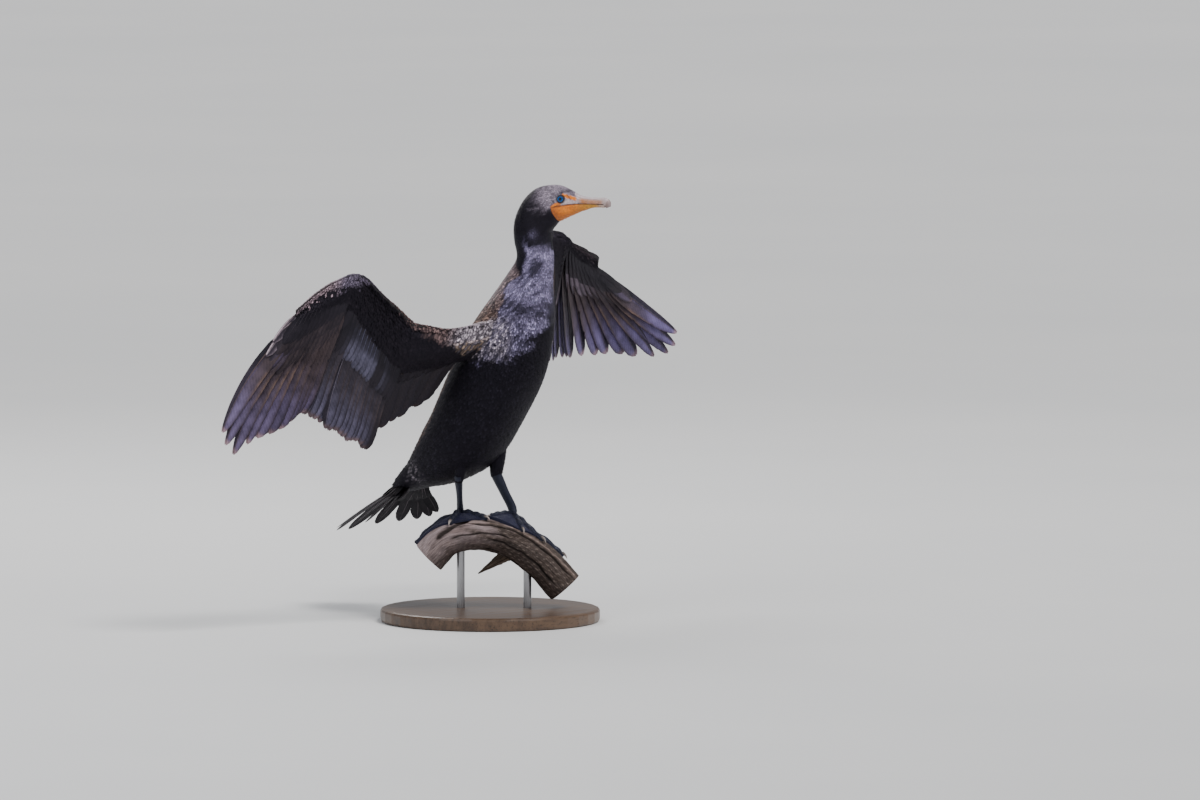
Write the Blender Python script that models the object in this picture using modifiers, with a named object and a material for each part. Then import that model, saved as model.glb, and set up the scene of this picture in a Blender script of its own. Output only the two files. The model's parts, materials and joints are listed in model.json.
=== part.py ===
"""A double-crested cormorant drying its wings, life size, on a cut length of driftwood over a stand.

Run with: blender --background --factory-startup --python part.py
Helpers work in millimetres, and every mesh is scaled to metres as it is made.
The bird faces -Y, its left is +X, and Z is up. Its own zero is the top of the perch between its feet.
The world's zero is the centre of the stand's underside.
"""

import math

import bmesh
import bpy
import numpy as np

MM = 0.001
GAP = 0.3

# Stand and perch
BASE_RADIUS = 165
BASE_THICKNESS = 20
BASE_EDGE = 4
BASE_SIDES = 40
PERCH_HEIGHT = 156
ROD_RADIUS = 6
ROD_SIDES = 24
ROD_PLACES = (-44, 56)
ROD_IN_BASE = 10
ROD_IN_PERCH = 14
PERCH_HALF_DEPTH = 36

# The perch runs along this level direction, which is square to the line of sight of the usual view.
ALONG_PERCH = np.array((math.sqrt(0.5), -math.sqrt(0.5), 0.0))
ACROSS_PERCH = np.array((-math.sqrt(0.5), -math.sqrt(0.5), 0.0))
UP = np.array((0.0, 0.0, 1.0))
ACROSS = np.array((1.0, 0.0, 0.0))

# Head
HEAD_TURN = math.radians(30)
NECK_AXIS_FORWARD = 91
EYE_FORWARD = 138.2
EYE_HEIGHT = 485.8
EYE_PROFILE = ((8.0, 4.2), (12.0, 5.1), (16.0, 5.1), (17.5, 4.1), (18.5, 1.9))
EYE_SOCKET = ((7.7, 4.5), (12.0, 5.4), (22.0, 5.4))
LID_OUT = 16.4
LID_RADIUS = 6.0
LID_THICKNESS = 1.3
NOSTRIL_REAR = (166.0, 8.9, 484.0)
NOSTRIL_FRONT = (175.5, 7.0, 482.4)
NOSTRIL_RADIUS = 1.0

# Feathers
VANE_THICKNESS = 0.7
TAIL_VANE_THICKNESS = 0.9
LOUVRE = math.radians(8)
PRIMARY_WIDTHS = (27, 24)
SECONDARY_WIDTH = 25
TERTIAL_WIDTH = 28
HAND_COVERT_WIDTH = 28
ARM_COVERT_WIDTH = 26
ALULA_WIDTH = 13
TAIL_VANE_WIDTH = 21
PRIMARIES = 10
SECONDARIES = 13
TERTIALS = 5
HAND_COVERTS = 4
ARM_COVERTS = 6
COVERT_CLEARANCE = 3.4
COVERT_DEPTH = 0.55
PRIMARY_BOW = 0.02
SECONDARY_BOW = 0.03
TERTIAL_BOW = 0.04
PRIMARY_LEADS = (0.42, 0.32)
SECONDARY_LEAD = 0.45
ALULA_FEATHERS = 2
TAIL_PAIRS = 6


def material(name, colour, roughness=0.6, metallic=0.0):
    made = bpy.data.materials.new(name)
    made.use_nodes = True
    shader = made.node_tree.nodes["Principled BSDF"]
    shader.inputs["Base Color"].default_value = (*colour, 1.0)
    shader.inputs["Roughness"].default_value = roughness
    shader.inputs["Metallic"].default_value = metallic
    return made


def clear_scene():
    for obj in list(bpy.data.objects):
        bpy.data.objects.remove(obj)


def collection(name):
    made = bpy.data.collections.new(name)
    bpy.context.scene.collection.children.link(made)
    return made


def unit(v):
    v = np.asarray(v, float)
    return v / np.linalg.norm(v)


def at(points, share):
    """The row at a share of the way along a smooth curve through a few rows of numbers."""
    rows = np.asarray(points, float)
    place = min(max(share, 0.0), 1.0) * (len(rows) - 1)
    i = min(int(place), len(rows) - 2)
    t = place - i
    b, c = rows[i], rows[i + 1]
    a = rows[i - 1] if i else 2 * b - c
    d = rows[i + 2] if i + 2 < len(rows) else 2 * c - b
    return 0.5 * (2 * b + (c - a) * t + (2 * a - 5 * b + 4 * c - d) * t**2 + (3 * b - a - 3 * c + d) * t**3)


def through(points, count):
    """Evenly counted rows on a smooth curve through a few rows of numbers."""
    return np.array([at(points, share) for share in np.linspace(0, 1, count)])


def shell_of(rings):
    """Triangles that join closed rings of equal count and cap both ends, alike from ring to ring."""
    rings = np.asarray(rings, float)
    count, sides = rings.shape[:2]
    verts = list(rings.reshape(-1, 3))
    faces = []
    for i in range(count - 1):
        for j in range(sides):
            k = (j + 1) % sides
            a, b, c, d = i * sides + j, i * sides + k, (i + 1) * sides + k, (i + 1) * sides + j
            faces += [(a, b, c), (a, c, d)]
    for ring, turn in ((0, True), (count - 1, False)):
        if sides == 4:
            a, b, c, d = (ring * sides + j for j in range(sides))
            faces += [(c, b, a), (d, c, a)] if turn else [(a, b, c), (a, c, d)]
            continue
        middle = len(verts)
        verts.append(rings[ring].mean(axis=0))
        for j in range(sides):
            a, b = ring * sides + j, ring * sides + (j + 1) % sides
            faces.append((middle, b, a) if turn else (middle, a, b))
    return np.array(verts), faces


def facing_out(verts, faces):
    """The faces turned round if the closed shape they make has a negative volume."""
    corners = verts[np.array(faces)]
    volume = np.einsum("ij,ij->i", corners[:, 0], np.cross(corners[:, 1], corners[:, 2])).sum()
    return faces if volume > 0 else [tuple(reversed(face)) for face in faces]


def object_of(name, shape, finish, home, parent=None, smooth=True):
    verts, faces = shape
    verts = np.asarray(verts, float)
    mesh = bpy.data.meshes.new(name)
    mesh.from_pydata((verts * MM).tolist(), [], facing_out(verts, faces))
    if smooth:
        mesh.shade_smooth()
        mesh.set_sharp_from_angle(angle=math.radians(40))
    obj = bpy.data.objects.new(name, mesh)
    home.objects.link(obj)
    if finish:
        mesh.materials.append(finish)
    obj.parent = parent
    return obj


def settle(obj):
    """Applies an object's modifiers to its mesh."""
    bpy.context.view_layer.update()
    graph = bpy.context.evaluated_depsgraph_get()
    mesh = bpy.data.meshes.new_from_object(obj.evaluated_get(graph))
    obj.modifiers.clear()
    obj.data = mesh


def islands(shape):
    """The separate closed surfaces of a shape, as sets of points, the largest first."""
    left = set(shape.verts)
    found = []
    while left:
        stack = [left.pop()]
        island = set(stack)
        while stack:
            for edge in stack.pop().link_edges:
                for vert in edge.verts:
                    if vert in left:
                        left.remove(vert)
                        island.add(vert)
                        stack.append(vert)
        found.append(island)
    return sorted(found, key=len, reverse=True)


def keep_largest(obj):
    """Drops every closed surface of a mesh but the largest."""
    shape = bmesh.new()
    shape.from_mesh(obj.data)
    for island in islands(shape)[1:]:
        bmesh.ops.delete(shape, geom=list(island), context="VERTS")
    shape.to_mesh(obj.data)
    shape.free()


def unite(obj, pieces, solver="EXACT"):
    """Fuses closed shapes into an object with one union."""
    box = bpy.data.collections.new("pieces_of_" + obj.name)
    bpy.context.scene.collection.children.link(box)
    for i, piece in enumerate(pieces):
        made = object_of(f"{obj.name}_piece_{i}", piece, None, box, parent=obj.parent)
        made.hide_render = True
    modifier = obj.modifiers.new("pieces", "BOOLEAN")
    modifier.operation = "UNION"
    modifier.operand_type = "COLLECTION"
    modifier.collection = box
    modifier.solver = solver
    settle(obj)
    for piece in list(box.objects):
        bpy.data.objects.remove(piece)
    bpy.data.collections.remove(box)
    keep_largest(obj)


def carve(obj, cutter, whole=True, solver="EXACT"):
    """Cuts an object with another, and keeps only its largest closed surface where it stays whole."""
    modifier = obj.modifiers.new("cut", "BOOLEAN")
    modifier.operation = "DIFFERENCE"
    modifier.object = cutter
    modifier.solver = solver
    settle(obj)
    if whole:
        keep_largest(obj)


def as_cutter(obj):
    obj.hide_render = True
    obj.display_type = "WIRE"
    return obj


def cutter_of(name, shape, helpers, parent):
    return as_cutter(object_of(name, shape, None, helpers, parent, smooth=False))


def swollen(obj, helpers):
    """A copy of a rounded object grown by the usual gap, to cut its neighbours with."""
    mesh = obj.data.copy()
    normals = [tuple(vertex.normal) for vertex in mesh.vertices]
    for vertex, normal in zip(mesh.vertices, normals):
        vertex.co = [c + n * GAP * MM for c, n in zip(vertex.co, normal)]
    made = bpy.data.objects.new(obj.name + "_swollen", mesh)
    helpers.objects.link(made)
    made.parent = obj.parent
    return as_cutter(made)


def spike(root, tip, wide, narrow, sides=7):
    """A tapered round peg between two points."""
    root, tip = np.asarray(root, float), np.asarray(tip, float)
    axis = unit(tip - root)
    side = unit(np.cross(axis, (0.31, 0.83, 0.46)))
    other = np.cross(axis, side)
    turns = np.linspace(0, 2 * math.pi, sides, endpoint=False)
    rings = []
    for share in (0.0, 0.5, 1.0):
        radius = wide + (narrow - wide) * share
        middle = root + (tip - root) * share
        rings.append([middle + radius * (math.cos(t) * side + math.sin(t) * other) for t in turns])
    return shell_of(rings)


# The perch: a bent branch whose cross-section is wider than it is high.

PERCH_SPINE = (
    (-92, -60),
    (-69, -37),
    (-45, -28),
    (-18, -25),
    (9, -28),
    (33, -37),
    (60, -53),
    (84, -74),
    (112, -106),
)
PERCH_HALF_HEIGHT = (26, 27, 25.5, 24.5, 24.5, 25.5, 27, 28.5, 29)
PERCH_RINGS = 19
PERCH_SIDES = 16
PERCH_BUMP = 1.1
SPINE_STEPS = 401
# A broken side shoot under the perch, each end given along, across and up.
SHOOT_ROOT = (40, 0, -46)
SHOOT_TIP = (-18, 6, -84)
SHOOT_RADII = (13, 1.0)


def perch_frame(share):
    """Centre, half height and up direction of the perch's section at a share of its length."""
    rows = [(*place, half) for place, half in zip(PERCH_SPINE, PERCH_HALF_HEIGHT)]
    along, height, half = at(rows, share)
    ahead = at(rows, share + 0.004) - at(rows, share - 0.004)
    tangent = unit(ahead[0] * ALONG_PERCH + ahead[1] * UP)
    out = unit(UP - tangent * float(tangent @ UP))
    return along * ALONG_PERCH + height * UP, half, out


def perch_bump(share, angle):
    """Slow swells of weathered wood, which fade out along the top where the feet rest."""
    rest = max(0.0, -math.cos(angle)) + 0.35 * abs(math.sin(angle))
    wave = math.sin(3 * angle + 9 * share) + 0.6 * math.sin(5 * angle - 17 * share)
    return PERCH_BUMP * rest * wave


def perch_point(share, angle, above=0.0):
    """A point over the perch's surface. Angle 0 is the top, and positive angles turn to its near side."""
    centre, half, out = perch_frame(share)
    bump = perch_bump(share, angle)
    high = (half + bump) * math.cos(angle)
    wide = (PERCH_HALF_DEPTH + bump) * math.sin(angle)
    lift = unit((math.cos(angle) / half, math.sin(angle) / PERCH_HALF_DEPTH))
    return centre + (high + above * lift[0]) * out + (wide + above * lift[1]) * ACROSS_PERCH


def perch_lengths():
    """Distances along the perch's spine, from its left end, at evenly spaced shares."""
    spine = through(PERCH_SPINE, SPINE_STEPS)
    steps = np.linalg.norm(np.diff(spine, axis=0), axis=1)
    return np.concatenate(((0.0,), np.cumsum(steps)))


def perch_turn(share, across):
    """The angle round the perch at a distance over its surface from the top, towards its near side."""
    step = math.radians(3)
    angles = np.arange(-50, 51) * step
    half = perch_frame(share)[1]
    steps = np.hypot(PERCH_HALF_DEPTH * np.cos(angles[:-1]), half * np.sin(angles[:-1])) * step
    around = np.concatenate(((0.0,), np.cumsum(steps)))
    return float(np.interp(across, around - np.interp(0.0, angles, around), angles))


def wrapped(flat, start, back, lengths):
    """Bends a flat shape onto the perch: x along it from a share, y across it from behind its top, z up."""
    shares = np.linspace(0, 1, SPINE_STEPS)
    begin = np.interp(start, shares, lengths)
    found = []
    for x, y, z in flat:
        share = float(np.interp(begin + x, lengths, shares))
        found.append(perch_point(share, perch_turn(share, y - back), z))
    return np.array(found)


def make_perch(home, finish, parent):
    turns = np.linspace(0, 2 * math.pi, PERCH_SIDES, endpoint=False)
    rings = [[perch_point(share, turn) for turn in turns] for share in np.linspace(0, 1, PERCH_RINGS)]
    perch = object_of("perch_branch", shell_of(rings), finish, home, parent)
    axes = np.array((ALONG_PERCH, ACROSS_PERCH, UP))
    unite(perch, [spike(SHOOT_ROOT @ axes, SHOOT_TIP @ axes, *SHOOT_RADII)])
    return perch


def cylinder(name, spot, bottom, top, radius, finish, home, parent, sides):
    """An upright cylinder between two heights."""
    shape = bmesh.new()
    radius, depth = radius * MM, (top - bottom) * MM
    bmesh.ops.create_cone(shape, cap_ends=True, segments=sides, radius1=radius, radius2=radius, depth=depth)
    mesh = bpy.data.meshes.new(name)
    shape.to_mesh(mesh)
    shape.free()
    if finish:
        mesh.materials.append(finish)
    mesh.shade_smooth()
    mesh.set_sharp_from_angle(angle=math.radians(40))
    obj = bpy.data.objects.new(name, mesh)
    home.objects.link(obj)
    obj.parent = parent
    obj.location = (spot[0] * MM, spot[1] * MM, (top + bottom) / 2 * MM)
    return obj


def make_stand(home, helpers, wood, metal, stand, perch):
    base = cylinder("stand_base", (0, 0), 0, BASE_THICKNESS, BASE_RADIUS, wood, home, stand, BASE_SIDES)
    bevel = base.modifiers.new("edge", "BEVEL")
    bevel.width = BASE_EDGE * MM
    bevel.segments = 2
    bevel.limit_method = "ANGLE"
    for name, place in zip(("stand_rod_left", "stand_rod_right"), ROD_PLACES):
        spot = place * ALONG_PERCH
        under = np.interp(place, [p[0] for p in PERCH_SPINE], [p[1] for p in PERCH_SPINE])
        half = np.interp(place, [p[0] for p in PERCH_SPINE], PERCH_HALF_HEIGHT)
        top = PERCH_HEIGHT + under - half + ROD_IN_PERCH
        bottom = BASE_THICKNESS - ROD_IN_BASE
        ends = (bottom - GAP, top + GAP)
        hole = cylinder("hole_" + name, spot, *ends, ROD_RADIUS + GAP, None, helpers, None, ROD_SIDES)
        as_cutter(hole)
        for target in (base, perch):
            socket = target.modifiers.new("socket_" + name, "BOOLEAN")
            socket.operation = "DIFFERENCE"
            socket.object = hole
        cylinder(name, spot, bottom, top, ROD_RADIUS, metal, home, stand, ROD_SIDES)


# The bird's body. A station is forward, height, pitch in degrees, half depth, half width.

TORSO = (
    (-146, 58, 31, 24, 31),
    (-114, 76, 33, 38, 44),
    (-81, 98, 39, 51, 54),
    (-48, 124, 50, 60, 61),
    (-12, 175, 58, 64, 65),
    (27, 237, 58, 66, 66),
    (54, 287, 62, 55, 62),
    (74, 329, 65, 45, 47),
)
NECK = (
    (74, 329, 65, 45, 47),
    (89, 364, 74, 33, 33),
    (96, 394, 88, 28, 27),
    (92, 421, 94, 28, 27),
    (91.3, 436, 90, 29, 27),
)
HEAD = (
    (91.3, 436, 90, 29, 27),
    (94, 447, 79, 30.5, 26.5),
    (98.5, 457, 66, 31, 25),
    (106, 468, 53, 31.2, 22.8),
    (117, 476.5, 38, 30.6, 20.5),
    (130, 480.5, 27.5, 28, 18),
    (142.5, 482.3, 20, 24.6, 15),
    (153.5, 482.7, 18, 20.5, 12),
    (162.5, 481.8, 18, 16, 9.6),
    (170, 480.0, 14, 12, 8.2),
    (184, 480.2, 5, 7.9, 6.2),
    (196, 481.4, 0, 6.7, 5.2),
    (202.5, 480.7, -10, 7.3, 4.9),
    (207, 478.2, -38, 6.4, 4.1),
    (208.7, 473.6, -68, 3.4, 2.1),
)
TORSO_RINGS, TORSO_SIDES = 13, 20
NECK_SIDES = 18
HEAD_RINGS = 24
NECK_CUT = 0.5
EYE_SIDES = 12


def turned(forward, across, height, turn):
    """A place on the bird, with the head's turn about the neck's upright axis."""
    reach = forward - NECK_AXIS_FORWARD
    x = across * math.cos(turn) + reach * math.sin(turn)
    y = across * math.sin(turn) - reach * math.cos(turn) - NECK_AXIS_FORWARD
    return np.array((x, y, height))


def body_ring(station, sides, turn=0.0, squareness=2.1, shift=0.0):
    """One closed ring square to the spine, its first point on the bird's back."""
    forward, height, pitch, half_depth, half_width = station
    pitch = math.radians(pitch)
    forward += shift * math.cos(pitch)
    height += shift * math.sin(pitch)
    ring = []
    for angle in np.linspace(0, 2 * math.pi, sides, endpoint=False):
        c, s = math.cos(angle), math.sin(angle)
        deep = half_depth * math.copysign(abs(c) ** (2 / squareness), c)
        wide = half_width * math.copysign(abs(s) ** (2 / squareness), s)
        ring.append(turned(forward - deep * math.sin(pitch), wide, height + deep * math.cos(pitch), turn))
    return ring


def make_torso(home, finish, parent):
    rings = [body_ring(s, TORSO_SIDES) for s in through(TORSO, TORSO_RINGS)]
    return object_of("torso", shell_of(rings), finish, home, parent)


def neck_turn(height):
    """How far the neck has turned at a height, from none at its root to the head's turn."""
    low, high = NECK[1][1], NECK[-1][1]
    share = min(max((height - low) / (high - low), 0), 1)
    return HEAD_TURN * share * share * (3 - 2 * share)


def make_neck(home, finish, parent):
    """The neck in two lengths, each a thin gap away from its neighbours."""
    stations = through(NECK, 11)
    middle = int(NECK_CUT * (len(stations) - 1))
    for name, part in (("neck_lower", stations[: middle + 1]), ("neck_upper", stations[middle:])):
        rings = []
        for i, station in enumerate(part):
            shift = GAP / 2 * ((i == 0) - (i == len(part) - 1))
            rings.append(body_ring(station, NECK_SIDES, neck_turn(station[1]), shift=shift))
        object_of(name, shell_of(rings), finish, home, parent)


# Where the mouth, the bare throat and the bill's root run on the side of the head: forward and height.
GAPE = (117, 471.5)
CHEEK = (159, 478.6)
MOUTH_LINE = ((103, 470.5), GAPE, (124, 473.5), (145, 477.0), CHEEK, (203, 478.2), (206.5, 470))
GULAR_LINE = (GAPE, (121, 462), (127, 453), (133, 440))
BILL_LINE = ((160, 505), (163.5, 493), (160.5, 486), CHEEK)


WALL_THICKNESS = GAP + 0.1
WALL_HALF_WIDTH = 45


def wall(line):
    """A thin upright form that follows a line drawn on the side of the head."""
    points = np.array(line, float)
    steps = np.gradient(points, axis=0)
    sides = np.array([(-s[1], s[0]) for s in steps]) / np.linalg.norm(steps, axis=1)[:, None]
    rings = []
    for point, side in zip(points, sides):
        ring = []
        for across, edge in ((-1, -1), (1, -1), (1, 1), (-1, 1)):
            forward, height = point + side * edge * WALL_THICKNESS / 2
            ring.append(turned(forward, across * WALL_HALF_WIDTH, height, HEAD_TURN))
        rings.append(ring)
    return shell_of(rings)


def part_out(obj, names, finishes, home, parent):
    """Makes an object of each closed surface of a parted one, named from the highest down."""
    source = bmesh.new()
    source.from_mesh(obj.data)
    groups = sorted(islands(source)[: len(names)], key=lambda g: -max(v.co.z for v in g))
    for name, finish, group in zip(names, finishes, groups):
        number = {v: i for i, v in enumerate(group)}
        verts = [tuple(c / MM for c in v.co) for v in number]
        faces = [tuple(number[v] for v in f.verts) for f in source.faces if f.verts[0] in number]
        object_of(name, (np.array(verts), triangles(faces)), finish, home, parent)
    source.free()
    bpy.data.objects.remove(obj)


def triangles(faces):
    """The faces as triangles."""
    found = []
    for face in faces:
        for i in range(1, len(face) - 1):
            found.append((face[0], face[i], face[i + 1]))
    return found


def eye_form(side, profile):
    """A form turned about the line out through an eye, from its distance out and radius at each step."""
    ahead = unit(turned(1, 0, 0, HEAD_TURN) - turned(0, 0, 0, HEAD_TURN))
    rings = []
    for out, radius in profile:
        middle = turned(EYE_FORWARD, side * out, EYE_HEIGHT, HEAD_TURN)
        turns = np.linspace(0, 2 * math.pi, EYE_SIDES, endpoint=False)
        rings.append([middle + radius * (math.cos(t) * ahead + math.sin(t) * UP) for t in turns])
    return shell_of(rings)


def lid(side):
    """A ring round one eye, standing just proud of the head."""
    middle = turned(EYE_FORWARD, side * LID_OUT, EYE_HEIGHT, HEAD_TURN)
    ahead = unit(turned(1, 0, 0, HEAD_TURN) - turned(0, 0, 0, HEAD_TURN))
    verts, faces = [], []
    around, sides = EYE_SIDES, 4
    for i in range(around):
        turn = 2 * math.pi * i / around
        out = math.cos(turn) * ahead + math.sin(turn) * UP
        axis = np.cross(ahead, UP)
        for j in range(sides):
            curl = 2 * math.pi * j / sides
            reach = LID_RADIUS + LID_THICKNESS * math.cos(curl)
            verts.append(middle + reach * out + LID_THICKNESS * math.sin(curl) * axis)
            a, b = i * sides + j, i * sides + (j + 1) % sides
            c, d = (b + sides) % (around * sides), (a + sides) % (around * sides)
            faces += [(a, b, c), (a, c, d)]
    return np.array(verts), faces


def nostril(side):
    """A slit cut along one side of the bill."""
    ends = []
    for forward, out, height in (NOSTRIL_REAR, NOSTRIL_FRONT):
        ends.append(turned(forward, side * out, height, HEAD_TURN))
    return spike(*ends, NOSTRIL_RADIUS, NOSTRIL_RADIUS / 2, sides=4)


# The exact solver leaves open edges where thin cuts meet on the head, and nothing of a foot's thin sheet.
THIN_SOLVER = "MANIFOLD"


def make_head(home, helpers, finishes, parent):
    """Head and bill as one form with lids round the eyes, parted along the mouth and feather lines."""
    stations = through(HEAD, HEAD_RINGS)
    rings = []
    for i, station in enumerate(stations):
        shift = GAP / 2 * (i == 0)
        turn = max(neck_turn(station[1]), HEAD_TURN if i else 0)
        rings.append(body_ring(station, NECK_SIDES, turn, squareness=2.15, shift=shift))
    whole = object_of("head_whole", shell_of(rings), finishes[0], helpers, parent)
    unite(whole, [lid(1), lid(-1)], THIN_SOLVER)
    for side, name in ((1, "eye_left"), (-1, "eye_right")):
        for cut, form in (("socket", eye_form(side, EYE_SOCKET)), ("nostril", nostril(side))):
            carve(whole, cutter_of(f"{name}_{cut}", form, helpers, parent), solver=THIN_SOLVER)
        object_of(name, eye_form(side, EYE_PROFILE), finishes[3], home, parent)
    for name, line in (("mouth_cut", MOUTH_LINE), ("gular_cut", GULAR_LINE), ("bill_cut", BILL_LINE)):
        carve(whole, cutter_of(name, wall(line), helpers, parent), whole=False, solver=THIN_SOLVER)
    part_out(whole, ("head", "bill_upper", "bill_lower"), finishes, home, parent)


# Feathers

FLIGHT_OUTLINE = ((0, 0.3), (0.22, 0.8), (0.45, 1.0), (0.86, 0.92), (1.0, 0.3))
COVERT_OUTLINE = ((0, 0.45), (0.4, 1.0), (0.82, 0.9), (1.0, 0.35))


def bow_rise(bow, length, share):
    """How far a bent feather stands off the straight line between its ends."""
    return bow * length * 4 * share * (1 - share)


def vane(root, tip, normal, width, outline, bow=0.0, lead=0.5, louvre=LOUVRE, thickness=VANE_THICKNESS):
    """One feather: a thin bent plate with its outer edge raised. Lead is the share outside its shaft."""
    root, tip = np.asarray(root, float), np.asarray(tip, float)
    along = tip - root
    length = np.linalg.norm(along)
    along = along / length
    normal = unit(normal - along * float(normal @ along))
    side = np.cross(along, normal)
    slanted = math.cos(louvre) * side + math.sin(louvre) * normal
    face = np.cross(slanted, along)
    rings = []
    for share, wide in outline:
        middle = root + along * length * share + normal * bow_rise(bow, length, share)
        outer = middle + slanted * width * lead * wide
        inner = middle - slanted * width * (1 - lead) * wide
        half = face * thickness / 2
        rings.append([outer + half, inner + half, inner - half, outer - half])
    return shell_of(rings)


# A wing's places are given for the left side: across, back, height. The right wing mirrors its own.

WING_LEFT = {
    "shoulder": (50, -50, 285),
    "elbow": (146, 34, 275),
    "wrist": (215, 62, 398),
    "hand": (300, 67, 348),
    "primary_tips": (
        (285, 113, 216),
        (358, 109, 214),
        (440, 90, 206),
        (468, 87, 212),
        (475, 82, 224),
        (472, 74, 245),
    ),
    "secondary_tips": ((262, 118, 215), (205, 115, 202), (150, 100, 178)),
    "tertial_tips": ((138, 96, 172), (78, 66, 182)),
}
WING_RIGHT = {
    "shoulder": (50, -50, 285),
    "elbow": (165, 20, 255),
    "wrist": (266, 24, 358),
    "hand": (336, 71, 310),
    "primary_tips": (
        (325, 78, 176),
        (358, 83, 153),
        (407, 102, 133),
        (428, 108, 117),
        (438, 113, 132),
        (440, 118, 152),
    ),
    "secondary_tips": ((314, 76, 172), (250, 66, 138), (185, 68, 107)),
    "tertial_tips": ((150, 80, 130), (78, 66, 168)),
}
PRIMARY_TIP_PLACES = (0.0, 1 / 3, 2 / 3, 7 / 9, 8 / 9, 1.0)
# Along the bones: share of the way out, reach ahead of the bone, reach behind it, half thickness.
WING_CORE = (
    (0.0, 28, 48, 19),
    (0.17, 30, 42, 15),
    (0.33, 50, 32, 11),
    (0.5, 41, 28, 9),
    (0.6, 34, 26, 8.5),
    (0.667, 24, 26, 8),
    (0.75, 22, 22, 7),
    (0.85, 20, 18, 5.5),
    (1.0, 7, 8, 2.5),
)


# From the shoulder, how far the wing's fleshy part runs on before the body cuts it off.
INSIDE_BODY = (-34, 6, 0)


class Wing:
    """One wing's bones, feather directions and surface normals, worked out from its named places."""

    def __init__(self, places):
        self.places = {name: np.array(value, float) for name, value in places.items()}
        p = self.places
        self.inner = p["shoulder"] + INSIDE_BODY
        self.bones = (p["shoulder"], p["elbow"], p["wrist"], p["hand"])

    def bone(self, share):
        """A point along the bones: 0 shoulder, 1/3 elbow, 2/3 wrist, 1 hand's tip."""
        return np.array([np.interp(share * 3, range(4), [b[i] for b in self.bones]) for i in range(3)])

    def primary(self, share):
        """Root and tip of a primary. Share 0 is the innermost and 1 the outermost."""
        tips = self.places["primary_tips"]
        tip = np.array([np.interp(share, PRIMARY_TIP_PLACES, tips[:, i]) for i in range(3)])
        return self.bone(2 / 3 + (0.045 + 0.93 * share) / 3), tip

    def secondary(self, share):
        """Root and tip of a secondary. Share 0 is next to the wrist and 1 at the elbow."""
        return self.bone(2 / 3 - (0.04 + 0.92 * share) / 3), at(self.places["secondary_tips"], share)

    def tertial(self, share):
        """Root and tip of a tertial. Share 0 is at the elbow."""
        return self.bone(1 / 3 - (0.06 + 0.72 * share) / 3), at(self.places["tertial_tips"], share)

    def chord(self, share):
        """The direction in which the feathers trail at a share of the way out."""
        if share >= 2 / 3:
            root, tip = self.primary(min(1.0, (share - 2 / 3) * 3))
        elif share >= 1 / 3:
            root, tip = self.secondary((2 / 3 - share) * 3)
        else:
            root, tip = self.tertial((1 / 3 - share) * 3)
        return unit(tip - root)

    def normal(self, share):
        """The direction out of the wing's upper side, smoothed over a stretch of the span."""
        total = np.zeros(3)
        for near in np.linspace(share - 0.12, share + 0.12, 7):
            spot = min(max(near, 0.02), 0.98)
            span = unit(self.bone(spot + 0.02) - self.bone(spot - 0.02))
            total += unit(np.cross(span, self.chord(spot)))
        return unit(total)


def wing_core(wing):
    """The fleshy part of a wing, from inside the body to the hand's tip, with the fold before the elbow."""
    profile = ((-1, 0), (-0.5, 0.7), (0.1, 1), (1, 0.4), (1, -0.4), (0.1, -1), (-0.5, -0.7))
    rows = through(WING_CORE, 15)
    rings = []
    first = None
    for share, ahead, behind, half in rows:
        share = min(max(share, 0), 1)
        chord = wing.chord(share)
        normal = wing.normal(share)
        chord = unit(chord - normal * float(chord @ normal))
        ring = []
        for along, thick in profile:
            reach = along * (behind if along > 0 else ahead)
            ring.append(wing.bone(share) + chord * reach + normal * thick * half)
        first = ring if first is None else first
        rings.append(ring)
    shift = wing.inner - wing.bone(0)
    rings.insert(0, [point + shift for point in first])
    return shell_of(rings)


def flight_feathers(wing):
    made = []
    for i in range(PRIMARIES):
        share = i / (PRIMARIES - 1)
        root, tip = wing.primary(share)
        normal = wing.normal(2 / 3 + share / 3)
        width = np.interp(share, (0, 1), PRIMARY_WIDTHS)
        lead = np.interp(share, (0, 1), PRIMARY_LEADS)
        made.append(vane(root, tip, normal, width, FLIGHT_OUTLINE, PRIMARY_BOW, lead))
    for i in range(SECONDARIES):
        share = i / (SECONDARIES - 1)
        root, tip = wing.secondary(share)
        normal = wing.normal(2 / 3 - share / 3)
        made.append(vane(root, tip, normal, SECONDARY_WIDTH, FLIGHT_OUTLINE, SECONDARY_BOW, SECONDARY_LEAD))
    for i in range(TERTIALS):
        share = i / (TERTIALS - 1)
        root, tip = wing.tertial(share)
        normal = wing.normal(1 / 3 - share / 3)
        made.append(vane(root, tip, normal, TERTIAL_WIDTH, FLIGHT_OUTLINE, TERTIAL_BOW))
    return made


def alula(wing):
    """The few stiff feathers of the thumb, on the upper side by the wrist."""
    made = []
    for i in range(ALULA_FEATHERS):
        start, end = 0.69 + 0.015 * i, 0.8 + 0.035 * i
        lift = 3 + 1.6 * (ALULA_FEATHERS - i)
        root = wing.bone(start) - wing.chord(start) * 8 + wing.normal(start) * lift * 0.6
        tip = wing.bone(end) - wing.chord(end) * (22 - 5 * i) + wing.normal(end) * lift
        made.append(vane(root, tip, wing.normal(0.75), ALULA_WIDTH, COVERT_OUTLINE))
    return made


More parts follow.
